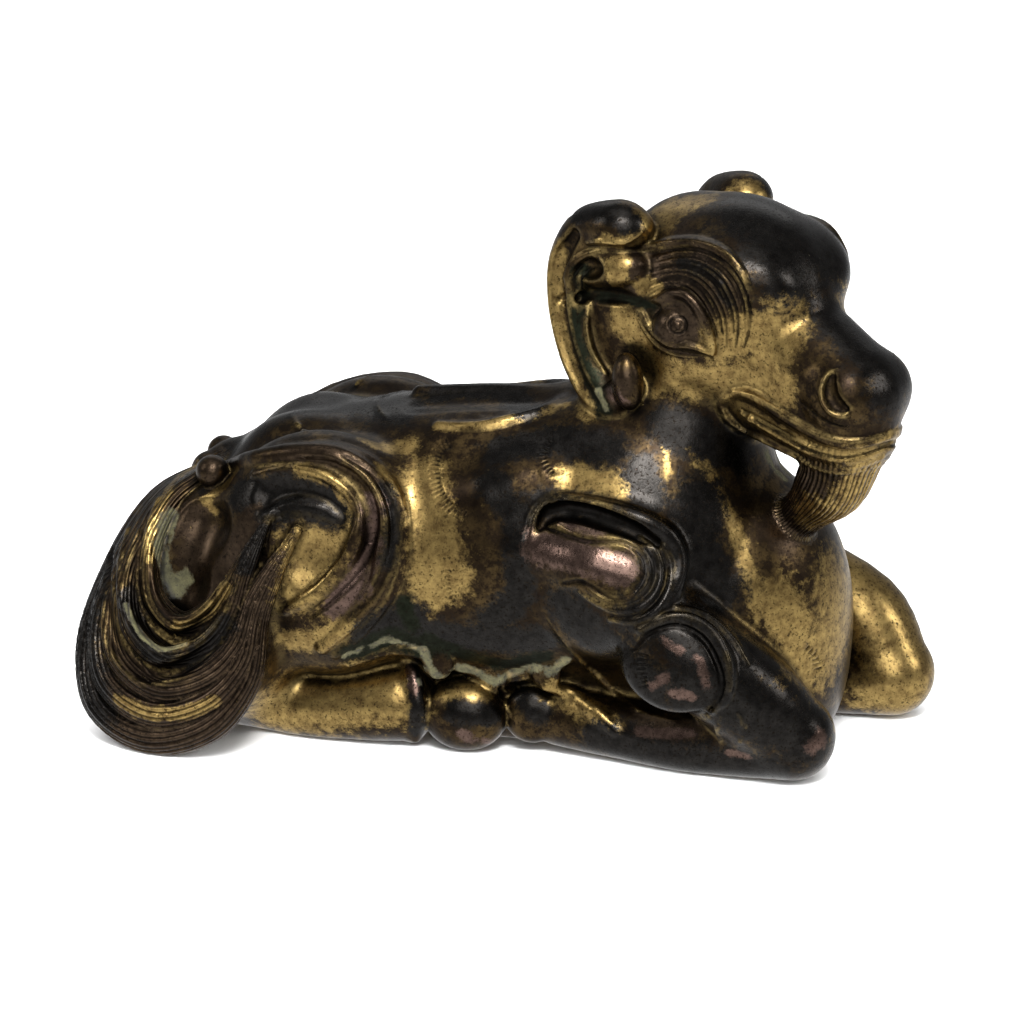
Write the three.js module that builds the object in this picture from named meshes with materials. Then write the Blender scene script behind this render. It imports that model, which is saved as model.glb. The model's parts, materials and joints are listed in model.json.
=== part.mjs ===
// Recumbent mythical beast, cast in one piece in bronze and fire-gilt.
// The form is built up as a founder's wax is: pellets and rolls pressed together, then grooves cut
// into them. Each pellet or roll is a distance field; the fields are blended on a grid, the surface
// of the blend is taken with marching cubes, and the mesh is simplified to a few thousand triangles.
// Millimetres, +X towards the breast, +Y towards the beast's left, +Z up, origin on the underside.
import * as THREE from "three";
import { edgeTable, triTable } from "three/addons/objects/MarchingCubes.js";

// Driving dimensions
const GRID_STEP = 0.9; // distance between samples of the wax
const TRIANGLES = 9600; // of the finished mesh
const LOW = [-84, -50, -3.6]; // the block of samples
const HIGH = [94, 46, 108];
const HEAD_AT = [44, -2, 86]; // middle of the skull
const HEAD_TURN = -30; // degrees about +Z: the beast looks to its right
const LEFT = 1;
const RIGHT = -1;

// The view that the ornament was drawn from: its eye, its axes and its scale
const VIEW_AZIMUTH = 15;
const VIEW_ELEVATION = 17;
const VIEW_TARGET = new THREE.Vector3(1.5, 0, 37.7);
const VIEW_DISTANCE = 800;
const VIEW_SCALE = 5.7; // picture units to a millimetre, at the target
const VIEW_MIDDLE = 512;
const VIEW_REACH = 90; // how far before and behind the target the lines of sight are searched
const VIEW_STRIDE = 0.2;

const degrees = THREE.MathUtils.degToRad;
const BODY = new THREE.Matrix4();
const HEAD = new THREE.Matrix4().makeRotationZ(degrees(HEAD_TURN)).setPosition(...HEAD_AT);

// Shapes: each has a box (low, high) and a distance, negative inside

function pellet(centre, radii, turn = [0, 0, 0], place = BODY) {
  const m = new THREE.Matrix4()
    .makeRotationFromEuler(new THREE.Euler(...turn.map(degrees), "XYZ"))
    .setPosition(...centre)
    .premultiply(place);
  const e = m.elements;
  const c = [e[12], e[13], e[14]];
  const reach = [0, 1, 2].map((i) => Math.hypot(e[i] * radii[0], e[i + 4] * radii[1], e[i + 8] * radii[2]));
  const [ra, rb, rc] = radii;
  return {
    low: c.map((v, i) => v - reach[i]),
    high: c.map((v, i) => v + reach[i]),
    distance(x, y, z) {
      const dx = x - c[0], dy = y - c[1], dz = z - c[2];
      const a = (e[0] * dx + e[1] * dy + e[2] * dz) / ra;
      const b = (e[4] * dx + e[5] * dy + e[6] * dz) / rb;
      const g = (e[8] * dx + e[9] * dy + e[10] * dz) / rc;
      const k0 = Math.sqrt(a * a + b * b + g * g);
      const k1 = Math.sqrt((a * a) / (ra * ra) + (b * b) / (rb * rb) + (g * g) / (rc * rc));
      return k1 < 1e-9 ? -Math.min(ra, rb, rc) : (k0 * (k0 - 1)) / k1;
    },
  };
}

// A roll follows a smooth curve through its points; its radius runs smoothly from one to the next.
function roll(points, radii, place = BODY, steps = 6) {
  const through = points.map((p) => new THREE.Vector3(...p).applyMatrix4(place));
  const curve = new THREE.CatmullRomCurve3(through, false, "centripetal");
  const count = (points.length - 1) * steps;
  const radius = typeof radii === "number" ? points.map(() => radii) : radii;
  const line = [];
  for (let i = 0; i <= count; i++) {
    const p = curve.getPoint(i / count);
    const at = (i / count) * (points.length - 1);
    const j = Math.min(Math.floor(at), points.length - 2);
    const s = THREE.MathUtils.smoothstep(at - j, 0, 1);
    line.push([p.x, p.y, p.z, THREE.MathUtils.lerp(radius[j], radius[j + 1], s)]);
  }
  const f = new Float64Array(line.flat());
  return {
    low: [0, 1, 2].map((k) => Math.min(...line.map((q) => q[k] - q[3]))),
    high: [0, 1, 2].map((k) => Math.max(...line.map((q) => q[k] + q[3]))),
    distance(x, y, z) {
      let best = 1e9;
      for (let o = 0; o < f.length - 4; o += 4) {
        const bx = f[o + 4] - f[o], by = f[o + 5] - f[o + 1], bz = f[o + 6] - f[o + 2];
        const px = x - f[o], py = y - f[o + 1], pz = z - f[o + 2];
        let t = (px * bx + py * by + pz * bz) / (bx * bx + by * by + bz * bz);
        t = t < 0 ? 0 : t > 1 ? 1 : t;
        const qx = px - bx * t, qy = py - by * t, qz = pz - bz * t;
        const d = Math.sqrt(qx * qx + qy * qy + qz * qz) - (f[o + 3] + (f[o + 7] - f[o + 3]) * t);
        if (d < best) best = d;
      }
      return best;
    },
  };
}

// The wax: samples of the blended distance on a grid
class Wax {
  constructor() {
    this.size = [0, 1, 2].map((k) => Math.ceil((HIGH[k] - LOW[k]) / GRID_STEP) + 1);
    this.value = new Float32Array(this.size[0] * this.size[1] * this.size[2]).fill(20);
  }

  // Runs change(sample, x, y, z) over every sample within margin of a shape's box.
  over(shape, margin, change) {
    const cell = (c, k) => (c - LOW[k]) / GRID_STEP;
    const from = [0, 1, 2].map((k) => Math.max(0, Math.floor(cell(shape.low[k] - margin, k))));
    const to = [0, 1, 2].map((k) => Math.min(this.size[k] - 1, Math.ceil(cell(shape.high[k] + margin, k))));
    for (let k = from[2]; k <= to[2]; k++) {
      for (let j = from[1]; j <= to[1]; j++) {
        let at = (k * this.size[1] + j) * this.size[0] + from[0];
        for (let i = from[0]; i <= to[0]; i++, at++) {
          const x = LOW[0] + i * GRID_STEP, y = LOW[1] + j * GRID_STEP, z = LOW[2] + k * GRID_STEP;
          this.value[at] = change(this.value[at], x, y, z);
        }
      }
    }
  }

  add(shape, blend) {
    this.over(shape, blend + 3 * GRID_STEP, (a, x, y, z) => {
      const b = shape.distance(x, y, z);
      const h = Math.max(blend - Math.abs(a - b), 0) / blend;
      return Math.min(a, b) - (h * h * blend) / 4;
    });
  }

  cut(shape, blend) {
    this.over(shape, blend + 3 * GRID_STEP, (a, x, y, z) => {
      const b = -shape.distance(x, y, z);
      const h = Math.max(blend - Math.abs(a - b), 0) / blend;
      return Math.max(a, b) + (h * h * blend) / 4;
    });
  }

  at(x, y, z) {
    const p = [x, y, z].map((c, k) =>
      THREE.MathUtils.clamp((c - LOW[k]) / GRID_STEP, 0, this.size[k] - 1.001));
    const [i, j, k] = p.map(Math.floor);
    const [u, v, w] = [p[0] - i, p[1] - j, p[2] - k];
    let sum = 0;
    for (let c = 0; c < 8; c++) {
      const [a, b, d] = [c & 1, (c >> 1) & 1, c >> 2];
      const share = (a ? u : 1 - u) * (b ? v : 1 - v) * (d ? w : 1 - w);
      sum += share * this.value[((k + d) * this.size[1] + j + b) * this.size[0] + i + a];
    }
    return sum;
  }

  // The points of the surface on the lines of sight to points of the drawing: where a line meets the
  // surface first or, past its outline, where the line comes nearest to it.
  seen(route) {
    const back = new THREE.Vector3(0, -1, 0)
      .applyAxisAngle(new THREE.Vector3(1, 0, 0), degrees(-VIEW_ELEVATION))
      .applyAxisAngle(new THREE.Vector3(0, 0, 1), degrees(VIEW_AZIMUTH));
    const right = new THREE.Vector3(1, 0, 0).applyAxisAngle(new THREE.Vector3(0, 0, 1), degrees(VIEW_AZIMUTH));
    const up = new THREE.Vector3().crossVectors(back, right);
    const eye = VIEW_TARGET.clone().addScaledVector(back, VIEW_DISTANCE);
    return route.map(([u, v]) => {
      const way = VIEW_TARGET.clone()
        .addScaledVector(right, (u - VIEW_MIDDLE) / VIEW_SCALE)
        .addScaledVector(up, (VIEW_MIDDLE - v) / VIEW_SCALE)
        .sub(eye)
        .normalize();
      let nearest = { value: Infinity };
      for (let t = VIEW_DISTANCE - VIEW_REACH; t < VIEW_DISTANCE + VIEW_REACH; t += VIEW_STRIDE) {
        const p = eye.clone().addScaledVector(way, t);
        const value = this.at(...p.toArray());
        if (value < nearest.value) nearest = { value, p };
        if (value < 0) break;
      }
      return nearest.p.toArray();
    });
  }
}

// Lays the points of a drawn route on the surface, with their mirror images for the other side.
function drawn(wax, route, place = BODY) {
  const near = wax.seen(route);
  const inverse = place.clone().invert();
  const far = near.map((p) => {
    const q = new THREE.Vector3(...p).applyMatrix4(inverse);
    return q.setY(-q.y).applyMatrix4(place).toArray();
  });
  return [near, far];
}

// A bead of wax laid along a drawn route, thin at its two ends, or a groove of that width cut there
function bead(wax, route, width, place = BODY, cutting = false) {
  for (const points of drawn(wax, route, place)) {
    const last = points.length - 1;
    const swell = (i) => Math.sin((Math.PI * (i + 0.35)) / (last + 0.7));
    const radii = points.map((_, i) => (width / 2) * (0.35 + 0.65 * swell(i)));
    if (cutting) wax.cut(roll(points, radii), 0.6);
    else wax.add(roll(points, radii), 1);
  }
}

// Shallow dishes of a given depth, pressed into the flanks with a ball of a given radius
function dish(wax, route, radius, depth) {
  drawn(wax, route).forEach((points, n) => {
    const outwards = n === 0 ? RIGHT : LEFT;
    for (const [x, y, z] of points) {
      wax.cut(pellet([x, y + outwards * (radius - depth), z], [radius, radius, radius]), 1);
    }
  });
}

// Trunk, with the backbone in a shallow channel, the rump and the loins raised on it
const BACKBONE = [[-15, 0, 58], [0, 0, 59.4], [14, -0.4, 59.7], [26, -0.8, 60]];
const BACK_CHANNEL = [[-14, 6, 60.4], [0, 6.1, 62], [14, 6, 62.4], [25, 6, 62.6]];
const FLANK_LINE = [[438, 425], [476, 427], [505, 422], [534, 414], [564, 405]];

function trunk(wax) {
  wax.add(roll(
    [[-44, 0, 26], [-28, 0, 30.5], [0, 0, 33.5], [24, -1, 35.5], [40, -1, 32]],
    [18, 24.5, 26.5, 25, 19]), 1);
  wax.add(roll([[-44, 0, 9], [0, 0, 9], [44, 0, 9]], [13, 15, 15]), 5);
  wax.add(pellet([42, 0, 21], [20, 19.5, 22]), 8);
  for (const side of [RIGHT, LEFT]) {
    wax.add(pellet([-35, side * 6.5, 43.8], [12, 9, 11], [0, -20, 0]), 3);
    wax.add(pellet([-19.5, side * 6.5, 45.8], [9.5, 8, 8.5]), 1.5);
    wax.cut(roll(BACK_CHANNEL.map(([x, y, z]) => [x, side * y, z]), 3.4), 1.5);
  }
  wax.add(roll(BACKBONE, 1.6), 1.2);
  bead(wax, FLANK_LINE, 2.4);
}

function neck(wax) {
  wax.add(roll([[24, 0, 44], [31, 0, 54], [32.2, 1, 66], [36, 0, 78]], [19, 15.4, 12.8, 13.5]), 7);
}

// Thigh, with its volute of raised bands round a shallow pool
const THIGH_EDGE = [
  [318, 445], [345, 449], [373, 463], [396, 496], [403, 543], [395, 585], [370, 622], [335, 655],
];
const THIGH_RIM = [
  [228, 466], [258, 458], [300, 454], [336, 458], [364, 476],
  [382, 508], [387, 545], [379, 584], [356, 616], [322, 648],
];
const THIGH_LIP = [
  [255, 474], [297, 470], [330, 480], [352, 503], [355, 540], [338, 570], [310, 596], [285, 610],
];
const POOL = [[318, 548]];

function thigh(wax, side) {
  wax.add(pellet([-27, side * 18.5, 33.5], [21, 11.5, 22], [0, 10, 0]), 3);
  wax.add(pellet([-42, side * 12, 37], [8, 8, 10], [0, -30, 0]), 4);
}

function volute(wax) {
  dish(wax, POOL, 16, 2.2);
  bead(wax, THIGH_EDGE, 2.2);
  bead(wax, THIGH_RIM, 5);
  bead(wax, THIGH_LIP, 3);
}

// Tail: strands swept out round the right thigh in a U and turned up on it, the outer ones longer
const TAIL_OUTER = [
  [-49, -7, 44.5], [-59, -13, 39], [-66, -19.5, 26.5], [-68.5, -25, 14], [-64.5, -30, 6],
  [-54, -34, 2.8], [-43, -35, 6.5], [-36.5, -34, 15], [-34.8, -31.5, 27], [-28.8, -29.3, 40.6],
];
const TAIL_INNER = [
  [-51, -15, 44], [-54, -18, 41.5], [-56, -21.5, 38], [-57.3, -25.5, 32], [-55.5, -28.5, 25.5],
  [-49.5, -31, 22], [-43.7, -32, 25], [-40.5, -31.5, 29.2], [-37.8, -31, 34.4], [-33.8, -29, 42.6],
];
const TAIL_HOLLOW = [[200, 514], [192, 534], [184, 554], [180, 574]];
const TAIL_BACKING = [[-57, -17, 26], [-60, -23, 15], [-51, -27.5, 10], [-42, -28.5, 15], [-37, -28.5, 27]];
const TAIL_ROOT = [[-40, -1, 42], [-47, -2.5, 43.5], [-52, -6, 43]];
const KNOBS = [[-47.6, -18, 46.5], [-51.6, 0, 44.8]];
const KNOB_RADIUS = 2.9;
const STRANDS = 5;
const STRAND_RADIUS = [2.1, 2.5, 2.5, 2.7, 3.2, 3.5, 3.3, 2.7, 2.1, 0.8];
const CROWN = 2; // how far the middle strands stand out
const PARTING = 7; // how late the strands gather into the two locks: a power of the way along

function tail(wax) {
  wax.add(pellet([-49, -17, 27], [12, 9, 18], [0, 20, 0]), 3);
  wax.add(pellet([-42, -19, 18], [11, 11, 15]), 3);
  dish(wax, TAIL_HOLLOW, 6.5, 2);
  wax.add(roll(TAIL_BACKING, [5.5, 7.5, 7.5, 6.5, 3.5]), 3);
  wax.add(roll(TAIL_ROOT, [8, 5, 3.5]), 2);
  const last = TAIL_OUTER.length - 1;
  for (let s = 0; s < STRANDS; s++) {
    const share = s / (STRANDS - 1);
    const lock = share < 0.6 ? 0 : 1;
    const crown = CROWN * Math.sin(Math.PI * share);
    const path = TAIL_OUTER.map((outer, i) => {
      const across = THREE.MathUtils.lerp(share, lock, (i / last) ** PARTING);
      const p = outer.map((c, k) => THREE.MathUtils.lerp(c, TAIL_INNER[i][k], across));
      p[1] -= crown * Math.sin((Math.PI * i) / last);
      return p;
    });
    const radii = STRAND_RADIUS.map((r) => r * (1 - 0.2 * share));
    wax.add(roll(path, radii), 0.5);
  }
  for (const knob of KNOBS) wax.add(pellet(knob, [KNOB_RADIUS, KNOB_RADIUS, KNOB_RADIUS]), 0.4);
}

// Legs folded under the body. The left foreleg lies a little further forward.
const SHOULDER_TROUGH = [[540, 530], [550, 514], [570, 511], [600, 518], [632, 530], [656, 544]];
const SHOULDER_RIM = [
  [530, 540], [540, 512], [560, 502], [600, 508], [641, 520], [668, 535], [680, 560], [673, 594], [652, 616],
];
const SHOULDER_TONGUE = [
  [560, 525], [580, 536], [608, 541], [632, 548], [644, 565],
  [643, 584], [624, 597], [602, 596], [583, 584], [563, 583],
];
const HOOF_FOLD = [[546, 686], [572, 694], [596, 712], [616, 731]];
const BOSS_RIM = [[640, 630], [672, 619], [706, 630], [727, 662], [726, 696], [711, 710]];

function foreleg(wax, side) {
  const ahead = side === LEFT ? 10.5 : 0;
  const lift = side === LEFT ? 2 : 0;
  wax.add(pellet([25, side * 20, 34], [14, 9.5, 15], [0, 35, 0]), 2);
  wax.add(roll(
    [[27, side * 21, 33], [38, side * 23, 24 + lift], [49 + ahead, side * 21.5, 15 + lift],
      [56 + ahead, side * 19, 8]],
    [9, 8.8, 8.4, 7.2]), 2);
  wax.add(roll(
    [[56 + ahead, side * 18.5, 7], [40 + ahead, side * 18, 5.5], [24, side * 16, 5.5], [14, side * 14, 6]],
    [7, 6.3, 5.4, 5.4]), 1.5);
  for (const toe of [-1, 1]) {
    wax.add(pellet([9.5, side * (14.5 + toe * 2.4), 6.5], [5, 2.7, 5], [0, 20, 0]), 0.6);
  }
}

function flames(wax) {
  const troughs = drawn(wax, SHOULDER_TROUGH);
  bead(wax, SHOULDER_RIM, 3.4);
  for (const points of troughs) wax.cut(roll(points, [0.8, 1.6, 1.9, 1.9, 1.6, 0.8]), 0.6);
  bead(wax, SHOULDER_TONGUE, 1.8);
  for (const side of [RIGHT, LEFT]) {
    wax.add(pellet([37.3, side * 28.6, 22], [9.4, 4, 7.8], [side * 12, 20, 0]), 1.2);
  }
  bead(wax, BOSS_RIM, 2.4);
  bead(wax, HOOF_FOLD, 3);
}

function hindleg(wax, side) {
  wax.add(roll([[-44, side * 15, 4.8], [-28, side * 17.5, 5.2], [-14, side * 17, 7]], [5.5, 6, 7]), 1.5);
  wax.add(pellet([-11.5, side * 16.5, 7.2], [2.4, 6, 8]), 0.8);
  for (const toe of [-1, 1]) {
    wax.add(pellet([-2, side * (17 + toe * 1.8), 6.2], [7.5, 5, 6.4]), 0.6);
  }
}

// The belly's hem, with three points hanging from it
const HEM = [[350, 664], [390, 650], [430, 655], [465, 668], [500, 678], [540, 672], [568, 660]];
const HEM_POINTS = [[438, 662], [492, 677], [546, 672]];

function hem(wax) {
  bead(wax, HEM, 2.4);
  for (const point of HEM_POINTS) {
    for (const [at] of drawn(wax, [point])) wax.add(pellet(at, [2.8, 1.3, 3.2]), 1);
  }
}

// Head, in its own frame: x forward, y to the left, z up, from the middle of the skull
const BROW = [[646, 246], [672, 242], [700, 243], [725, 254], [742, 278], [748, 298]];
const UPPER_LID = [[634, 301], [655, 304], [668, 298], [684, 295], [697, 308], [706, 330], [711, 350]];
const LOWER_LID = [[641, 312], [651, 329], [666, 340], [682, 344], [698, 348], [711, 352]];
const UPPER_LIP = [
  [727, 418], [721, 405], [737, 393], [756, 398], [779, 413], [803, 428], [828, 440], [852, 444], [876, 440],
  [890, 435],
];
const LOWER_LIP = [
  [727, 418], [742, 429], [764, 438], [788, 449], [812, 461], [836, 466], [860, 463], [880, 456],
];
const MOUTH = [[744, 413], [766, 425], [790, 439], [817, 452], [844, 457], [870, 451], [890, 443]];
const NOSTRIL = [[831, 377], [829, 392], [835, 404], [846, 411]];

function head(wax) {
  const add = (centre, radii, turn, blend) => wax.add(pellet(centre, radii, turn, HEAD), blend);
  add([-2, 0, -1.8], [18.2, 14.6, 12.8], [0, 8, 0], 5);
  wax.add(roll([[2, 0, -7], [13, 0, -13.5], [23.6, 0, -18.6]], [12, 9.4, 9], HEAD), 3);
  wax.add(roll([[-6, 0, -15.2], [9, 0, -21], [23, 0, -24.6]], [11.5, 9.4, 7.6], HEAD), 2.5);
  add([-14.5, 0, -7], [11, 16.6, 16], [0, 0, 0], 4);
  for (const side of [LEFT, RIGHT]) {
    add([-17, side * 13.5, -9], [8.5, 5.2, 14.5], [0, 0, 0], 2.5);
    add([5.5, side * 8.3, 0.2], [9.8, 5.8, 5.8], [0, 15, side * -15], 3);
    add([-1, side * 12, -7], [4.6, 3.4, 4], [0, 0, 0], 1);
    add([-4, side * 9, -13], [9, 6, 9], [0, 0, 0], 4);
    add([24.8, side * 4.6, -17.6], [6, 5, 5.6], [0, 0, 0], 2);
    ear(wax, side);
    horn(wax, side);
  }
  bead(wax, BROW, 1.8, HEAD);
  bead(wax, MOUTH, 1.8, HEAD, true);
  bead(wax, UPPER_LIP, 1.9, HEAD);
  bead(wax, LOWER_LIP, 1.9, HEAD);
  bead(wax, UPPER_LID, 1.5, HEAD);
  bead(wax, LOWER_LID, 1.4, HEAD);
  bead(wax, NOSTRIL, 3, HEAD, true);
}

// The horns curl back and down behind the ears in a C, with a channel along them and a notched rim.
const HORN = [
  [-16, 15.5, 6], [-21.6, 16.5, 4.5], [-24.6, 17.5, -1], [-24.4, 18, -7.5],
  [-22.6, 18, -14.8], [-19.2, 18, -20.8], [-14.8, 18.5, -23.6], [-10.5, 19, -20.5],
];
const HORN_RADIUS = [4.5, 4.5, 4.5, 4.5, 4.3, 4, 3.4, 2.6];
const CHANNEL_RADIUS = [1.2, 2, 2, 2, 1.9, 1.6, 1.2];
const NOTCHES = 9;
const NOTCH_FROM = 0.14; // shares of the horn's length
const NOTCH_TO = 0.68;

function horn(wax, side) {
  const at = (points, out = 0) => points.map(([x, y, z]) => [x, side * (y + out), z]);
  wax.add(pellet([-16, side * 15.5, 6], [6, 5, 4.2], [0, 0, side * -20], HEAD), 1);
  wax.add(roll(at(HORN), HORN_RADIUS, HEAD), 1.5);
  wax.cut(roll(at(HORN.slice(1), 4.4), CHANNEL_RADIUS, HEAD), 0.5);
  wax.add(pellet([-9.6, side * 20, -19], [2.7, 2.7, 5], [0, -8, 0], HEAD), 0.5);
  const spine = new THREE.CatmullRomCurve3(HORN.map((p) => new THREE.Vector3(...p)), false, "centripetal");
  for (let n = 0; n < NOTCHES; n++) {
    const t = THREE.MathUtils.lerp(NOTCH_FROM, NOTCH_TO, n / (NOTCHES - 1));
    const p = spine.getPointAt(t);
    const along = spine.getTangentAt(t);
    const out = new THREE.Vector3(along.z, 0, -along.x).normalize();
    const rim = p.clone().addScaledVector(out, out.x > 0 ? -4.8 : 4.8);
    wax.cut(pellet([rim.x, side * (p.y + 1), rim.z], [1.1, 4, 1.1], [0, 0, 0], HEAD), 0.4);
  }
}

function ear(wax, side) {
  wax.add(pellet([-17, side * 17, -0.8], [7.6, 4.2, 4], [0, -6, side * -8], HEAD), 1);
  wax.cut(pellet([-19.5, side * 21.2, -0.8], [4.6, 2.4, 2.2], [0, -6, side * -8], HEAD), 0.6);
}

const BEARD = [[22, 0, -26], [20, 0, -33.5], [13.5, 0, -41], [5, 0, -48.6]];
const BEARD_RADIUS = [7.4, 6.4, 4.2, 1.5];

function beard(wax) {
  wax.add(roll(BEARD, BEARD_RADIUS, HEAD), 1.5);
}

// The flat underside
function stand(wax) {
  const ground = { low: LOW, high: HIGH, distance: (x, y, z) => z };
  wax.cut(ground, 0.6);
}

function model() {
  const wax = new Wax();
  trunk(wax);
  thigh(wax, RIGHT);
  thigh(wax, LEFT);
  volute(wax);
  hem(wax);
  neck(wax);
  for (const side of [RIGHT, LEFT]) {
    hindleg(wax, side);
    foreleg(wax, side);
  }
  flames(wax);
  tail(wax);
  head(wax);
  beard(wax);
  stand(wax);
  return wax;
}

// Marching cubes over the samples, with one shared vertex to each crossed grid edge
const CORNERS = [[0, 0, 0], [1, 0, 0], [1, 1, 0], [0, 1, 0], [0, 0, 1], [1, 0, 1], [1, 1, 1], [0, 1, 1]];
const EDGES = [[0, 1], [1, 2], [3, 2], [0, 3], [4, 5], [5, 6], [7, 6], [4, 7], [0, 4], [1, 5], [2, 6], [3, 7]];

function surface(wax) {
  const [nx, ny, nz] = wax.size;
  const points = [];
  const faces = [];
  const made = new Map();
  const index = (i, j, k) => (k * ny + j) * nx + i;
  const vertex = (i, j, k, edge) => {
    const [a, b] = EDGES[edge].map((c) => CORNERS[c]);
    const from = index(i + a[0], j + a[1], k + a[2]);
    const axis = a.findIndex((c, n) => c !== b[n]);
    const key = from * 3 + axis;
    if (!made.has(key)) {
      const to = index(i + b[0], j + b[1], k + b[2]);
      const share = THREE.MathUtils.clamp(wax.value[from] / (wax.value[from] - wax.value[to]), 0.02, 0.98);
      const p = [i + a[0], j + a[1], k + a[2]];
      p[axis] += share;
      made.set(key, points.length);
      points.push(p.map((c, n) => LOW[n] + c * GRID_STEP));
    }
    return made.get(key);
  };
  for (let k = 0; k < nz - 1; k++) {
    for (let j = 0; j < ny - 1; j++) {
      for (let i = 0; i < nx - 1; i++) {
        let bits = 0;
        CORNERS.forEach(([a, b, c], n) => {
          if (wax.value[index(i + a, j + b, k + c)] < 0) bits |= 1 << n;
        });
        if (!edgeTable[bits]) continue;
        for (let n = bits * 16; triTable[n] !== -1; n += 3) {
          faces.push([0, 2, 1].map((m) => vertex(i, j, k, triTable[n + m])));
        }
      }
    }
  }
  return { points, faces };
}

// Quadric simplification: the edge whose collapse moves the surface least goes first.
class Simplifier {
  constructor({ points, faces }) {
    this.p = points;
    this.f = faces;
    this.around = points.map(() => new Set());
    this.q = points.map(() => new Float64Array(10));
    this.stamp = new Uint32Array(points.length);
    this.heap = [];
    faces.forEach((face, n) => {
      const { normal, area } = this.plane(face);
      const d = -normal.dot(new THREE.Vector3(...points[face[0]]));
      const [a, b, c] = normal.toArray();
      const quadric = [a * a, a * b, a * c, a * d, b * b, b * c, b * d, c * c, c * d, d * d];
      for (const v of face) {
        this.around[v].add(n);
        for (let m = 0; m < 10; m++) this.q[v][m] += quadric[m] * area;
      }
    });
  }

  plane(face) {
    const [a, b, c] = face.map((v) => new THREE.Vector3(...this.p[v]));
    const normal = b.sub(a).cross(c.sub(a));
    const area = normal.length() / 2;
    return { normal: normal.normalize(), area };
  }

  neighbours(v) {
    const found = new Set();
    for (const n of this.around[v]) for (const w of this.f[n]) if (w !== v) found.add(w);
    return found;
  }

  cost(u, v) {
    const q = this.q[u].map((c, n) => c + this.q[v][n]);
    const error = ([x, y, z]) =>
      q[0] * x * x + 2 * q[1] * x * y + 2 * q[2] * x * z + 2 * q[3] * x +
      q[4] * y * y + 2 * q[5] * y * z + 2 * q[6] * y + q[7] * z * z + 2 * q[8] * z + q[9];
    const m = new THREE.Matrix3().set(q[0], q[1], q[2], q[1], q[4], q[5], q[2], q[5], q[7]);
    const middle = this.p[u].map((c, n) => (c + this.p[v][n]) / 2);
    const size = Math.hypot(...this.p[u].map((c, n) => c - this.p[v][n]));
    const choices = [middle, this.p[u], this.p[v]];
    if (Math.abs(m.determinant()) > 1e-4) {
      const best = new THREE.Vector3(-q[3], -q[6], -q[8]).applyMatrix3(m.invert()).toArray();
      if (Math.hypot(...best.map((c, n) => c - middle[n])) < size * 1.5) choices.push(best);
    }
    const ranked = choices.map((at) => ({ at, error: error(at) })).sort((a, b) => a.error - b.error);
    return { at: ranked[0].at, error: ranked[0].error + 1e-6 * size * size };
  }

  push(u, v) {
    const { at, error } = this.cost(u, v);
    const item = { u, v, at, error, su: this.stamp[u], sv: this.stamp[v] };
    const h = this.heap;
    let i = h.push(item) - 1;
    while (i > 0) {
      const up = (i - 1) >> 1;
      if (h[up].error <= error) break;
      h[i] = h[up];
      i = up;
    }
    h[i] = item;
  }

  pop() {
    const h = this.heap;
    const top = h[0];
    const last = h.pop();
    if (h.length) {
      let i = 0;
      for (;;) {
        let c = 2 * i + 1;
        if (c >= h.length) break;
        if (c + 1 < h.length && h[c + 1].error < h[c].error) c++;
        if (h[c].error >= last.error) break;
        h[i] = h[c];
        i = c;
      }
      h[i] = last;
    }
    return top;
  }

  allowed({ u, v, at }) {
    const near = this.neighbours(u);
    let shared = 0;
    for (const w of this.neighbours(v)) if (near.has(w)) shared++;
    if (shared !== 2) return false;
    for (const [a, b] of [[u, v], [v, u]]) {
      for (const n of this.around[a]) {
        const face = this.f[n];
        if (face.includes(b)) continue;
        const before = this.plane(face);
        const kept = this.p[a];
        this.p[a] = at;
        const after = this.plane(face);
        this.p[a] = kept;
        if (before.normal.dot(after.normal) < 0.35 || after.area < 1e-5) return false;
      }
    }
    return true;
  }

  collapse({ u, v, at }) {
    this.p[u] = at;
    for (let m = 0; m < 10; m++) this.q[u][m] += this.q[v][m];
    let gone = 0;
    for (const n of [...this.around[v]]) {
      const face = this.f[n];
      if (face.includes(u)) {
        for (const w of face) this.around[w].delete(n);
        this.f[n] = null;
        gone++;
      } else {
        face[face.indexOf(v)] = u;
        this.around[u].add(n);
      }
    }
    this.around[v].clear();
    this.stamp[u]++;
    this.stamp[v]++;
    for (const w of this.neighbours(u)) this.push(u, w);
    return gone;
  }

  run(target) {
    this.f.forEach((face) => face.forEach((a, n) => {
      const b = face[(n + 1) % 3];
      if (a < b) this.push(a, b);
    }));
    let count = this.f.length;
    while (count > target && this.heap.length) {
      const item = this.pop();
      if (item.su !== this.stamp[item.u] || item.sv !== this.stamp[item.v]) continue;
      if (this.allowed(item)) count -= this.collapse(item);
    }
    return { points: this.p, faces: this.f.filter(Boolean) };
  }
}

function geometryOf({ points, faces }) {
  const flat = points.map(([x, y, z]) => [x, y, z < 0.03 ? 0 : z]);
  const corners = faces.flatMap((face) => face.flatMap((v) => flat[v]));
  const geometry = new THREE.BufferGeometry();
  geometry.setAttribute("position", new THREE.Float32BufferAttribute(corners, 3));
  geometry.computeVertexNormals();
  return geometry;
}

const gilt = new THREE.MeshStandardMaterial({ color: 0x7a6230, roughness: 0.38, metalness: 0.9 });
const beast = new THREE.Mesh(geometryOf(new Simplifier(surface(model())).run(TRIANGLES)), gilt);
beast.name = "beast";
const group = new THREE.Group();
group.add(beast);
export default group;
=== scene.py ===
# %% [markdown]
# # A recumbent mythical beast in gilt bronze
# A founder presses such a beast together in wax, casts it in bronze, then chases the metal with
# gravers and punches and gilds it with gold dissolved in mercury. Centuries of handling wear the gold
# off the high places. This lesson goes the same way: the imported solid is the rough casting, a model
# of the wax says where its true surface is, finer tools cut the lines, and the finish comes last.

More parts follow.
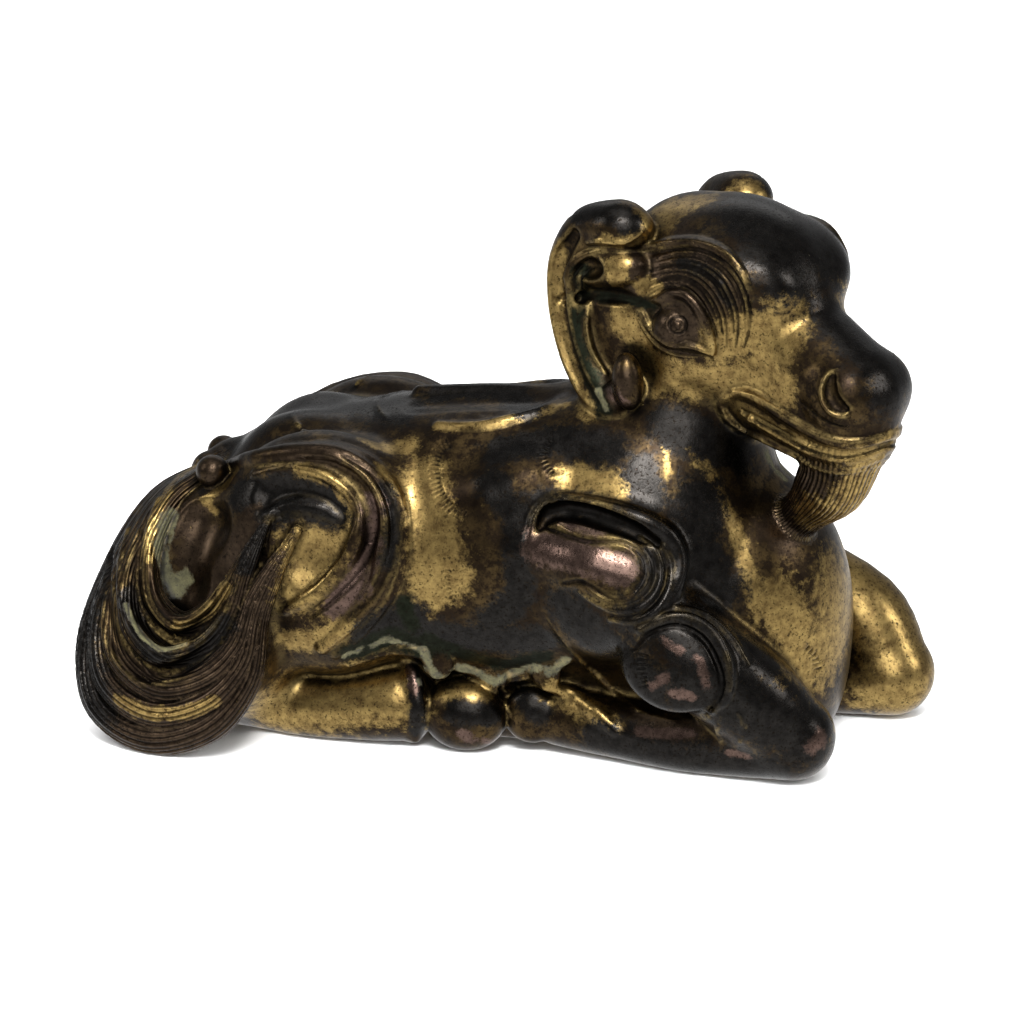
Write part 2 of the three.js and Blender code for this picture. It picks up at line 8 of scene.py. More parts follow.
# %% The frame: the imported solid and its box
import json
import math
from concurrent.futures import ThreadPoolExecutor

import bpy
import numpy as np
from mathutils import Matrix, Vector

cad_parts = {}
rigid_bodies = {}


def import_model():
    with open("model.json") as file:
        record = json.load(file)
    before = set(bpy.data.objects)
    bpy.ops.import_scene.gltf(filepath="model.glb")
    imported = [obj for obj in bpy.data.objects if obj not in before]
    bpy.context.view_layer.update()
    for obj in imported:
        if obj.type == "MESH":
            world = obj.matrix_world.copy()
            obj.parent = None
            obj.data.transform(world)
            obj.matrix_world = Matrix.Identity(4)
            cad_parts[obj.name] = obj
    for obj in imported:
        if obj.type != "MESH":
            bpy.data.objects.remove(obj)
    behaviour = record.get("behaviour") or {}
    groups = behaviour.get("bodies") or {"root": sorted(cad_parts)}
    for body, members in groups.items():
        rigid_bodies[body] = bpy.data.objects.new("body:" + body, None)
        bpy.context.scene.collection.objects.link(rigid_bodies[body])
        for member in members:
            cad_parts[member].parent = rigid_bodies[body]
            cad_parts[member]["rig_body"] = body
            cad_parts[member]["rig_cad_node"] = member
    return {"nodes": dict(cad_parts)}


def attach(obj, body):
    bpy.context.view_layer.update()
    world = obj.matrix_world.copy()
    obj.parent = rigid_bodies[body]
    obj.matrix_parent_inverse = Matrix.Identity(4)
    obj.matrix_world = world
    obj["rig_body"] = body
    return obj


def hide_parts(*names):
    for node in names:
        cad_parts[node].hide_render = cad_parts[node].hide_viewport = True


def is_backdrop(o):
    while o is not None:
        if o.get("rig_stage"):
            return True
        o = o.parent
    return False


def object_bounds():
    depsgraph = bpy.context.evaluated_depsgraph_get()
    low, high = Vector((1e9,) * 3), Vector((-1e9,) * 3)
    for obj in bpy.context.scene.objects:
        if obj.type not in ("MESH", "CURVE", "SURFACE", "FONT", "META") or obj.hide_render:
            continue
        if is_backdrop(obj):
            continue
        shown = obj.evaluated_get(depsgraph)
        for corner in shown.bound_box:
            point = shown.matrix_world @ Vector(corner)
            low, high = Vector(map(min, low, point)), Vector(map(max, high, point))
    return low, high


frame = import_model()
CAD_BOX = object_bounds()
MM = 0.001
print("solid:", [round(c / MM, 1) for corner in CAD_BOX for c in corner], "mm")

# %% [markdown]
# ## The camera
# The beast is looked at from its right, a little ahead of square and a little above, through a long
# lens. The ornament below is drawn in this view, in 1024 units each way, and is cast from here onto
# the metal, so the eye and its axes are named before anything else.

# %% Camera
VIEW_AZIMUTH = math.radians(15)
VIEW_ELEVATION = math.radians(17)
VIEW_TARGET = np.array([1.5, 0, 37.7])
VIEW_DISTANCE = 800
VIEW_SCALE = 5.7  # picture units to a millimetre, at the target
VIEW_SIDE = 1024
VIEW_REACH = 75
VIEW_STRIDE = 0.1

RIGHTWARDS = np.array([math.cos(VIEW_AZIMUTH), math.sin(VIEW_AZIMUTH), 0])
BACKWARDS = np.array([
    math.sin(VIEW_AZIMUTH) * math.cos(VIEW_ELEVATION),
    -math.cos(VIEW_AZIMUTH) * math.cos(VIEW_ELEVATION),
    math.sin(VIEW_ELEVATION),
])
UPWARDS = np.cross(BACKWARDS, RIGHTWARDS)
EYE = VIEW_TARGET + BACKWARDS * VIEW_DISTANCE

bpy.ops.object.camera_add(location=EYE * MM)
camera = bpy.context.object
camera.name = "camera"
camera.rotation_mode = "QUATERNION"
camera.rotation_quaternion = Vector(-BACKWARDS).to_track_quat("-Z", "Y")
camera.data.lens = camera.data.sensor_width * VIEW_DISTANCE * VIEW_SCALE / VIEW_SIDE
camera.data.clip_start = 0.05
bpy.context.scene.camera = camera
print("lens:", round(camera.data.lens, 1), "mm")

# %% [markdown]
# ## Shapes of wax
# Every form here is one of two shapes, and each can say how far any point is from its surface,
# negative inside. A pellet is an ellipsoid. A roll follows a smooth curve and changes its radius on
# the way. Distances are easy to blend, which a mesh is not: that is why the surface is worked out
# this way, and the mesh only follows it.

# %% Places and curves, in millimetres
BODY = Matrix.Identity(4)
HEAD = Matrix.Translation((44, -2, 86)) @ Matrix.Rotation(math.radians(-30), 4, "Z")
LEFT, RIGHT = 1, -1


class Shape:
    """A box, from low to high, and a distance function for an array of points."""

    def __init__(self, low, high, distance):
        self.low, self.high, self.distance = np.float32(low), np.float32(high), distance


def smooth(share):
    share = np.clip(share, 0, 1)
    return share * share * (3 - 2 * share)


def curve(points, count):
    """Count + 1 points on a centripetal Catmull-Rom curve through the given ones."""
    points = np.array(points, float)
    full = np.vstack([2 * points[:1] - points[1:2], points, 2 * points[-1:] - points[-2:-1]])
    line = []
    for share in np.linspace(0, len(points) - 1, count + 1):
        j = min(int(share), len(points) - 2)
        w = share - j
        a, b, c, d = full[j:j + 4]
        ta, tb, tc = (max(float(((q - p) ** 2).sum()) ** 0.25, 1e-4) for p, q in ((a, b), (b, c), (c, d)))
        leaving = ((b - a) / ta - (c - a) / (ta + tb) + (c - b) / tb) * tb
        arriving = ((c - b) / tb - (d - b) / (tb + tc) + (d - c) / tc) * tb
        square = 3 * (c - b) - 2 * leaving - arriving
        cube = 2 * (b - c) + leaving + arriving
        line.append(b + leaving * w + square * w ** 2 + cube * w ** 3)
    return np.array(line)


# %% Pellets and rolls
def pellet(centre, radii, turn=(0, 0, 0), place=BODY):
    turned = Matrix.Identity(4)
    for angle, axis in zip(turn, "XYZ"):
        turned = turned @ Matrix.Rotation(math.radians(angle), 4, axis)
    placed = place @ Matrix.Translation(centre) @ turned
    axes = np.float32(placed.to_3x3())
    middle = np.float32(placed.translation)
    radii = np.float32(radii)
    reach = np.sqrt(((axes * radii) ** 2).sum(1))

    def distance(p):
        q = (p - middle) @ axes / radii
        k0 = np.sqrt((q * q).sum(1))
        k1 = np.maximum(np.sqrt(((q / radii) ** 2).sum(1)), 1e-5)
        return k0 * (k0 - 1) / k1

    return Shape(middle - reach, middle + reach, distance)


def rods(starts, ends, start_radii, end_radii, hair=None):
    """A set of round rods that taper from one end to the other."""
    a, ways = np.float32(starts), np.float32(ends) - np.float32(starts)
    ra, taper = np.float32(start_radii), np.float32(end_radii) - np.float32(start_radii)
    lengths = (ways * ways).sum(1)
    both = np.concatenate([a, a + ways])
    radius = np.concatenate([ra, ra + taper])[:, None]

    def distance(p):
        low, high = p.min(0), p.max(0)
        middle, reach = (low + high) / 2, np.linalg.norm(high - low) / 2
        t = np.clip(((middle - a) * ways).sum(1) / lengths, 0, 1)
        far = np.linalg.norm(middle - a - t[:, None] * ways, axis=1)
        nearest = far - np.maximum(ra, ra + taper) - reach
        farthest = far - np.minimum(ra, ra + taper) + reach
        best = np.full(len(p), 1e9, np.float32)
        at = np.zeros(len(p), np.float32)
        for n in np.flatnonzero(nearest <= farthest.min()):
            away = p - a[n]
            t = np.clip(away @ ways[n] / lengths[n], 0, 1)
            away -= t[:, None] * ways[n]
            d = np.sqrt(np.einsum("ij,ij->i", away, away)) - ra[n] - taper[n] * t
            if hair:
                np.copyto(at, n + t, where=d < best)
            np.minimum(best, d, out=best)
        return best + hair(p, at) if hair else best

    return Shape((both - radius).min(0), (both + radius).max(0), distance)


def roll(points, radii, place=BODY, steps=6, hair=None):
    through = [place @ Vector(p) for p in points]
    line = np.float32(curve(through, (len(points) - 1) * steps))
    radii = np.full(len(points), radii, float) if np.isscalar(radii) else np.array(radii, float)
    at = np.linspace(0, len(points) - 1, len(line))
    j = np.minimum(at.astype(int), len(points) - 2)
    radius = radii[j] + (radii[j + 1] - radii[j]) * smooth(at - j)
    cuts = hair(line, radius) if hair else None
    return rods(line[:-1], line[1:], radius[:-1], radius[1:], cuts)


# %% [markdown]
# ## The wax
# Shapes are pressed on or cut away in order, each with a small fillet of its own. The wax only keeps
# the list, and works a point's distance out when asked, for all the points of one small cell of space
# at a time, so that far shapes are skipped. `seen` follows the lines of sight of a drawn route to
# where they meet the metal, which is how an ornament gets from the drawing to the surface.

# %% The wax
CELL = 10
FELT = 3  # how far beyond its fillet a stroke still counts


class Wax:
    def __init__(self):
        self.strokes, self.lows, self.highs = [], [], []

    def press(self, shape, blend, sign):
        self.strokes.append((shape, blend, sign))
        self.lows.append(shape.low - blend - FELT)
        self.highs.append(shape.high + blend + FELT)

    def add(self, shape, blend):
        self.press(shape, blend, 1)

    def cut(self, shape, blend):
        self.press(shape, blend, -1)

    def blended(self, p, lows, highs):
        value = np.full(len(p), 20, np.float32)
        for n in np.flatnonzero(((p.min(0) < highs) & (p.max(0) > lows)).all(1)):
            shape, blend, sign = self.strokes[n]
            near = np.flatnonzero(((p > lows[n]) & (p < highs[n])).all(1))
            if not len(near):
                continue
            a = sign * value[near]
            b = shape.distance(p[near])
            h = np.maximum(blend - np.abs(a - b), 0) / blend
            value[near] = sign * (np.minimum(a, b) - h * h * blend / 4)
        return value

    def at(self, p):
        p, lows, highs = np.float32(p), np.float32(self.lows), np.float32(self.highs)
        cells = np.floor(p / CELL).astype(np.int64)
        key = (cells[:, 0] * 1000 + cells[:, 1]) * 1000 + cells[:, 2]
        order = np.argsort(key, kind="stable")
        chunks = np.split(order, np.flatnonzero(np.diff(key[order])) + 1)
        value = np.empty(len(p), np.float32)
        with ThreadPoolExecutor(4) as pool:
            for chunk, found in zip(chunks, pool.map(lambda c: self.blended(p[c], lows, highs), chunks)):
                value[chunk] = found
        return value

    def first_met(self, ways, reach):
        """Which of the distances along each line of sight is the first inside the metal."""
        points = EYE + reach[:, :, None] * ways[:, None]
        value = self.at(points.reshape(-1, 3)).reshape(reach.shape)
        first = np.where((value < 0).any(1), (value < 0).argmax(1), value.argmin(1))
        return reach[np.arange(len(ways)), first][:, None]

    def seen(self, route):
        across = (np.array(route, float) - VIEW_SIDE / 2) / VIEW_SCALE
        ways = VIEW_TARGET + across[:, :1] * RIGHTWARDS - across[:, 1:] * UPWARDS - EYE
        ways /= np.linalg.norm(ways, axis=1)[:, None]
        stops = VIEW_DISTANCE + np.arange(-VIEW_REACH, VIEW_REACH, 1.0)
        rough = self.first_met(ways, np.repeat(stops[None], len(ways), axis=0))
        return EYE + self.first_met(ways, rough + np.arange(-1, 0.2, VIEW_STRIDE)) * ways


# %% Tools that follow a drawing
def drawn(wax, route, place=BODY, sunk=0.0):
    """A drawn route on the near side, sunk or not, and its mirror image on the far side."""
    near = wax.seen(route) - BACKWARDS * sunk
    inverse = place.inverted()
    far = [place @ (Matrix.Scale(-1, 4, (0, 1, 0)) @ (inverse @ Vector(point))) for point in near]
    return near, np.array(far)


def bead(wax, route, width, place=BODY, cutting=False, blend=None, even=False):
    """A bead along a drawn route, thin at its two ends, or a groove of that width."""
    last = len(route) - 1
    swell = [math.sin(math.pi * (i + 0.35) / (last + 0.7)) for i in range(last + 1)]
    radii = [width / 2 * (1 if even else 0.35 + 0.65 * s) for s in swell]
    for points in drawn(wax, route, place):
        if cutting:
            wax.cut(roll(points, radii, steps=3), blend or 0.6)
        else:
            wax.add(roll(points, radii, steps=3), blend or 1)


def dish(wax, route, radius, depth):
    """A shallow hollow, pressed into each flank with a ball."""
    for outwards, points in zip((RIGHT, LEFT), drawn(wax, route)):
        for x, y, z in points:
            wax.cut(pellet([x, y + outwards * (radius - depth), z], [radius] * 3), 1)


wax = Wax()

# %% [markdown]
# ## Body
# A fat trunk and breast first, then the rump, the loins and the neck, each a pellet or a roll with a
# wide fillet, so that the flanks stay as smooth as handled metal.

# %% Trunk, neck and thighs
BACKBONE = [[-15, 0, 58], [0, 0, 59.4], [14, -0.4, 59.7], [26, -0.8, 60]]
BACK_CHANNEL = [[-14, 6, 60.4], [0, 6.1, 62], [14, 6, 62.4], [25, 6, 62.6]]
FLANK_LINE = [[438, 425], [476, 427], [505, 422], [534, 414], [564, 405]]
THIGH_EDGE = [
    [318, 445], [345, 449], [373, 463], [396, 496], [403, 543], [395, 585], [370, 622], [335, 655],
]
THIGH_RIM = [
    [228, 466], [258, 458], [300, 454], [336, 458], [364, 476],
    [382, 508], [387, 545], [379, 584], [356, 616], [322, 648],
]
THIGH_LIP = [
    [255, 474], [297, 470], [330, 480], [352, 503], [355, 540], [338, 570], [310, 596], [285, 610],
]
POOL = [[318, 548]]


def trunk(wax):
    wax.add(roll(
        [[-44, 0, 26], [-28, 0, 30.5], [0, 0, 33.5], [24, -1, 35.5], [40, -1, 32]],
        [18, 24.5, 26.5, 25, 19]), 1)
    wax.add(roll([[-44, 0, 9], [0, 0, 9], [44, 0, 9]], [13, 15, 15]), 5)
    wax.add(pellet([42, 0, 21], [20, 19.5, 22]), 8)
    for side in (RIGHT, LEFT):
        wax.add(pellet([-35, side * 6.5, 43.8], [12, 9, 11], [0, -20, 0]), 3)
        wax.add(pellet([-19.5, side * 6.5, 45.8], [9.5, 8, 8.5]), 1.5)
        wax.cut(roll([[x, side * y, z] for x, y, z in BACK_CHANNEL], 3.4), 1.5)
    wax.add(roll(BACKBONE, 1.6), 1.2)
    bead(wax, FLANK_LINE, 2.4)


def neck(wax):
    wax.add(roll([[24, 0, 44], [31, 0, 54], [32.2, 1, 66], [36, 0, 78]], [19, 15.4, 12.8, 13.5]), 7)


def thigh(wax, side):
    wax.add(pellet([-27, side * 18.5, 33.5], [21, 11.5, 22], [0, 10, 0]), 3)
    wax.add(pellet([-42, side * 12, 37], [8, 8, 10], [0, -30, 0]), 4)


def volute(wax):
    dish(wax, POOL, 16, 2.2)
    bead(wax, THIGH_EDGE, 2.2)
    bead(wax, THIGH_RIM, 5)
    bead(wax, THIGH_LIP, 3)


# %% Hem and folded legs, the left foreleg a little ahead
HEM = [[350, 664], [390, 650], [430, 655], [465, 668], [500, 678], [540, 672], [568, 660]]
HEM_POINTS = [[438, 662], [492, 677], [546, 672]]
SHOULDER_TROUGH = [[540, 530], [550, 514], [570, 511], [600, 518], [632, 530], [656, 544]]
SHOULDER_RIM = [
    [530, 540], [540, 512], [560, 502], [600, 508], [641, 520],
    [668, 535], [680, 560], [673, 594], [652, 616],
]
SHOULDER_TONGUE = [
    [560, 525], [580, 536], [608, 541], [632, 548], [644, 565],
    [643, 584], [624, 597], [602, 596], [583, 584], [563, 583],
]
HOOF_FOLD = [[546, 686], [572, 694], [596, 712], [616, 731]]
BOSS_RIM = [[640, 630], [672, 619], [706, 630], [727, 662], [726, 696], [711, 710]]


def hem(wax):
    bead(wax, HEM, 2.4)
    for point in HEM_POINTS:
        for (at,) in drawn(wax, [point]):
            wax.add(pellet(at, [2.8, 1.3, 3.2]), 1)


def hindleg(wax, side):
    wax.add(roll([[-44, side * 15, 4.8], [-28, side * 17.5, 5.2], [-14, side * 17, 7]], [5.5, 6, 7]), 1.5)
    wax.add(pellet([-11.5, side * 16.5, 7.2], [2.4, 6, 8]), 0.8)
    for toe in (-1, 1):
        wax.add(pellet([-2, side * (17 + toe * 1.8), 6.2], [7.5, 5, 6.4]), 0.6)


def foreleg(wax, side):
    ahead = 10.5 if side == LEFT else 0
    lift = 2 if side == LEFT else 0
    upper = [
        [27, side * 21, 33], [38, side * 23, 24 + lift],
        [49 + ahead, side * 21.5, 15 + lift], [56 + ahead, side * 19, 8],
    ]
    lower = [
        [56 + ahead, side * 18.5, 7], [40 + ahead, side * 18, 5.5],
        [24, side * 16, 5.5], [14, side * 14, 6],
    ]
    wax.add(pellet([25, side * 20, 34], [14, 9.5, 15], [0, 35, 0]), 2)
    wax.add(roll(upper, [9, 8.8, 8.4, 7.2]), 2)
    wax.add(roll(lower, [7, 6.3, 5.4, 5.4]), 1.5)
    for toe in (-1, 1):
        wax.add(pellet([9.5, side * (14.5 + toe * 2.4), 6.5], [5, 2.7, 5], [0, 20, 0]), 0.6)


def flames(wax):
    troughs = drawn(wax, SHOULDER_TROUGH)
    bead(wax, SHOULDER_RIM, 3.4)
    for points in troughs:
        wax.cut(roll(points, [0.8, 1.6, 1.9, 1.9, 1.6, 0.8]), 0.6)
    bead(wax, SHOULDER_TONGUE, 1.8)
    for side in (RIGHT, LEFT):
        wax.add(pellet([37.3, side * 28.6, 22], [9.4, 4, 7.8], [side * 12, 20, 0]), 1.2)
    bead(wax, BOSS_RIM, 2.4)
    bead(wax, HOOF_FOLD, 3)


# %% [markdown]
# ## Hair
# The tail and the beard are rolls whose surface is cut with a graver along their length. The cuts lie
# at even angles round the roll, so they crowd together where it thins to a point, as combed hair
# does. No two cuts are as deep. A texture could only pretend to this, and its lines would not catch
# the light along the edge of a lock.

# %% Hair cut into a roll
HAIR_PITCH = 1
HAIR_DEPTH = 0.5


def partings(outwards, seed):
    """Numbers the hairs round a roll: a count that grows by one from each hair to the next."""
    def numbered(line, radius):
        tangent = np.gradient(line, axis=0)
        tangent /= np.linalg.norm(tangent, axis=1)[:, None]
        facing = np.float32(outwards) - (tangent @ np.float32(outwards))[:, None] * tangent
        facing /= np.linalg.norm(facing, axis=1)[:, None]
        beside = np.cross(tangent, facing)
        count = round(2 * math.pi * float(np.max(radius)) / HAIR_PITCH)
        step = np.arange(len(line))

        def turn(p, at):
            near = [np.stack([np.interp(at, step, of[:, k]) for k in range(3)], axis=1)
                    for of in (line, facing, beside)]
            away = p - near[0]
            angle = np.arctan2((away * near[2]).sum(1), (away * near[1]).sum(1))
            return angle * count / (2 * math.pi) + 0.35 * np.sin(at * 0.21 + seed)

        return turn
    return numbered


def hair(outwards, start, full, seed):
    """Grooves along a roll, from nothing at one share of its length to full depth at another."""
    def cuts(line, radius):
        turn = partings(outwards, seed)(line, radius)
        last = len(line) - 1

        def depth(p, at):
            number = turn(p, at)
            groove = (1 - np.abs(np.sin(math.pi * number))) ** 1.4
            each = 0.55 + 0.45 * np.sin(np.round(number) * 2.4 + seed)
            fade = smooth((at / last - start) / (full - start))
            return np.float32(HAIR_DEPTH * groove * each * fade)

        return depth
    return cuts


# %% Tail: five strands in a U round the right thigh, gathered into two locks
TAIL_OUTER = [
    [-49, -7, 44.5], [-59, -13, 39], [-66, -19.5, 26.5], [-68.5, -25, 14], [-64.5, -30, 6],
    [-54, -34, 2.8], [-43, -35, 6.5], [-36.5, -34, 15], [-34.8, -31.5, 27], [-28.8, -29.3, 40.6],
]
TAIL_INNER = [
    [-51, -15, 44], [-54, -18, 41.5], [-56, -21.5, 38], [-57.3, -25.5, 32], [-55.5, -28.5, 25.5],
    [-49.5, -31, 22], [-43.7, -32, 25], [-40.5, -31.5, 29.2], [-37.8, -31, 34.4], [-33.8, -29, 42.6],
]
TAIL_HOLLOW = [[200, 514], [192, 534], [184, 554], [180, 574]]
TAIL_BACKING = [[-57, -17, 26], [-60, -23, 15], [-51, -27.5, 10], [-42, -28.5, 15], [-37, -28.5, 27]]
TAIL_ROOT = [[-40, -1, 42], [-47, -2.5, 43.5], [-52, -6, 43]]
KNOBS = [[-47.6, -18, 46.5], [-51.6, 0, 44.8]]
KNOB_RADIUS = 2.9
STRANDS = 5
STRAND_RADIUS = [2.1, 2.5, 2.5, 2.7, 3.2, 3.5, 3.3, 2.7, 2.1, 0.8]
CROWN = 2
PARTING = 7
TAIL_FACES = [0.1, -1, 0.2]


def strands():
    """The paths and radii of the five rolls of the tail's hair, from the outer one inwards."""
    outer, inner = np.array(TAIL_OUTER, float), np.array(TAIL_INNER, float)
    way = np.linspace(0, 1, len(outer))
    for s in range(STRANDS):
        share = s / (STRANDS - 1)
        lock = 0 if share < 0.6 else 1
        across = share + (lock - share) * way ** PARTING
        path = outer + (inner - outer) * across[:, None]
        path[:, 1] -= CROWN * math.sin(math.pi * share) * np.sin(math.pi * way)
        yield path, [r * (1 - 0.2 * share) for r in STRAND_RADIUS]


def tail(wax):
    wax.add(pellet([-49, -17, 27], [12, 9, 18], [0, 20, 0]), 3)
    wax.add(pellet([-42, -19, 18], [11, 11, 15]), 3)
    dish(wax, TAIL_HOLLOW, 6.5, 2)
    wax.add(roll(TAIL_BACKING, [5.5, 7.5, 7.5, 6.5, 3.5]), 3)
    wax.add(roll(TAIL_ROOT, [8, 5, 3.5]), 2)
    for seed, (path, radii) in enumerate(strands()):
        wax.add(roll(path, radii, hair=hair(TAIL_FACES, 0.14, 0.4, seed)), 0.5)
    for knob in KNOBS:
        wax.add(pellet(knob, [KNOB_RADIUS] * 3), 0.4)


# %% Head, in its own frame: x forward, y to the left, z up
BROW = [[646, 246], [672, 242], [700, 243], [725, 254], [742, 278], [748, 298]]
UPPER_LID = [[634, 301], [655, 304], [668, 298], [684, 295], [697, 308], [706, 330], [711, 350]]
LOWER_LID = [[641, 312], [651, 329], [666, 340], [682, 344], [698, 348], [711, 352]]
UPPER_LIP = [
    [727, 418], [721, 405], [737, 393], [756, 398], [779, 413],
    [803, 428], [828, 440], [852, 444], [876, 440], [890, 435],
]
LOWER_LIP = [
    [727, 418], [742, 429], [764, 438], [788, 449], [812, 461], [836, 466], [860, 463], [880, 456],
]
MOUTH = [[744, 413], [766, 425], [790, 439], [817, 452], [844, 457], [870, 451], [890, 443]]
NOSTRIL = [[831, 377], [829, 392], [835, 404], [846, 411]]


def head(wax):
    def add(centre, radii, turn, blend):
        wax.add(pellet(centre, radii, turn, HEAD), blend)

    add([-2, 0, -1.8], [18.2, 14.6, 12.8], [0, 8, 0], 5)
    wax.add(roll([[2, 0, -7], [13, 0, -13.5], [23.6, 0, -18.6]], [12, 9.4, 9], HEAD), 3)
    wax.add(roll([[-6, 0, -15.2], [9, 0, -21], [23, 0, -24.6]], [11.5, 9.4, 7.6], HEAD), 2.5)
    add([-14.5, 0, -7], [11, 16.6, 16], [0, 0, 0], 4)
    for side in (LEFT, RIGHT):
        add([-17, side * 13.5, -9], [8.5, 5.2, 14.5], [0, 0, 0], 2.5)
        add([5.5, side * 8.3, 0.2], [9.8, 5.8, 5.8], [0, 15, side * -15], 3)
        add([-1, side * 12, -7], [4.6, 3.4, 4], [0, 0, 0], 1)
        add([-4, side * 9, -13], [9, 6, 9], [0, 0, 0], 4)
        add([24.8, side * 4.6, -17.6], [6, 5, 5.6], [0, 0, 0], 2)
        ear(wax, side)
        horn(wax, side)
    bead(wax, BROW, 1.8, HEAD)
    bead(wax, MOUTH, 1.8, HEAD, cutting=True)
    bead(wax, UPPER_LIP, 1.9, HEAD)
    bead(wax, LOWER_LIP, 1.9, HEAD)
    bead(wax, UPPER_LID, 1.5, HEAD)
    bead(wax, LOWER_LID, 1.4, HEAD)
    bead(wax, NOSTRIL, 3, HEAD, cutting=True)


# %% Horns, ears and beard
HORN = [
    [-16, 15.5, 6], [-21.6, 16.5, 4.5], [-24.6, 17.5, -1], [-24.4, 18, -7.5],
    [-22.6, 18, -14.8], [-19.2, 18, -20.8], [-14.8, 18.5, -23.6], [-10.5, 19, -20.5],
]
HORN_RADIUS = [4.5, 4.5, 4.5, 4.5, 4.3, 4, 3.4, 2.6]
CHANNEL_RADIUS = [1.2, 2, 2, 2, 1.9, 1.6, 1.2]
NOTCHES = 9
NOTCH_FROM = 0.14  # shares of the horn's length
NOTCH_TO = 0.68
BEARD = [[22, 0, -26], [20, 0, -33.5], [13.5, 0, -41], [5, 0, -48.6]]
BEARD_RADIUS = [7.4, 6.4, 4.2, 1.5]


def horn(wax, side):
    def at(points, out=0.0):
        return [[x, side * (y + out), z] for x, y, z in points]

    wax.add(pellet([-16, side * 15.5, 6], [6, 5, 4.2], [0, 0, side * -20], HEAD), 1)
    wax.add(roll(at(HORN), HORN_RADIUS, HEAD), 1.5)
    wax.cut(roll(at(HORN[1:], 4.4), CHANNEL_RADIUS, HEAD), 0.5)
    wax.add(pellet([-9.6, side * 20, -19], [2.7, 2.7, 5], [0, -8, 0], HEAD), 0.5)
    line = curve(HORN, 400)
    run = np.concatenate([[0], np.cumsum(np.linalg.norm(np.diff(line, axis=0), axis=1))])
    for share in np.linspace(NOTCH_FROM, NOTCH_TO, NOTCHES):
        i = int(np.searchsorted(run, share * run[-1]))
        along = line[i + 1] - line[i - 1]
        out = np.array([along[2], 0, -along[0]]) / math.hypot(along[0], along[2])
        rim = line[i] + out * (-4.8 if out[0] > 0 else 4.8)
        wax.cut(pellet([rim[0], side * (line[i][1] + 1), rim[2]], [1.1, 4, 1.1], place=HEAD), 0.4)


def ear(wax, side):
    wax.add(pellet([-17, side * 17, -0.8], [7.6, 4.2, 4], [0, -6, side * -8], HEAD), 1)
    wax.cut(pellet([-19.5, side * 21.2, -0.8], [4.6, 2.4, 2.2], [0, -6, side * -8], HEAD), 0.6)


BEARD_FACES = HEAD.to_3x3() @ Vector((0, -1, 0))


def beard(wax):
    wax.add(roll(BEARD, BEARD_RADIUS, HEAD, hair=hair(BEARD_FACES, -0.3, 0.3, STRANDS)), 1.5)


# %% [markdown]
# ## Chasing
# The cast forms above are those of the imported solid. The finer ones below were touched up or cut in
# the cold metal: eyelids and brows, lips, the ears' folds, the bands of the thigh and shoulder, and
# rows of chisel ticks on the flank, the boss and the breast. Nearly all are rolls along the surface,
# where a hand tool would run.

# %% Face
BROW_OUTER = [
    [652, 252], [676, 247], [702, 248], [722, 257], [737, 271],
    [747, 289], [752, 309], [751, 330], [746, 347],
]
BROW_INNER = [
    [648, 297], [658, 291], [669, 289], [680, 292], [690, 300],
    [698, 311], [705, 323], [710, 336], [713, 348],
]
BROW_LINES = 11
BROW_EDGE = [[650, 245], [674, 241], [702, 242], [726, 252], [743, 270], [752, 291], [756, 312]]
EYE_AT = [678, 325]
EYE_RADIUS = 4.2  # of the ball, in millimetres, and how deep its middle lies
EYE_DEPTH = 3.1
IRIS = 8.5  # radii of the two rings, in picture units
PUPIL = 4
RING_STEPS = 12
LID_OVER = [
    [640, 303], [656, 300], [670, 293], [685, 295],
    [698, 308], [707, 325], [713, 344], [714, 358],
]
LID_UNDER = [[642, 312], [650, 329], [660, 340], [673, 346], [686, 346], [701, 350], [712, 355]]
LID_LINE = [[637, 316], [647, 334], [659, 347], [677, 355], [697, 357]]
NOSTRIL_RIM = [[838, 369], [827, 375], [821, 389], [823, 404], [832, 414], [843, 416], [852, 408]]
LIP_LINE = [[732, 392], [752, 395], [771, 406], [802, 425], [826, 437], [852, 441], [878, 436], [892, 430]]
LIP_CUT = [[748, 417], [766, 427], [790, 441], [817, 453], [844, 458], [868, 453], [888, 445]]
CHIN_LINE = [
    [721, 407], [731, 423], [745, 432], [763, 441], [790, 454],
    [814, 467], [838, 473], [862, 470], [880, 464],
]
MOUTH_CORNER = [751, 419]
CHEEK_LINE = [[800, 402], [812, 412], [828, 422], [846, 427]]


def ring(middle, radius):
    turns = [2 * math.pi * i / RING_STEPS for i in range(RING_STEPS + 1)]
    return [[middle[0] + radius * math.cos(a), middle[1] + radius * math.sin(a)] for a in turns]


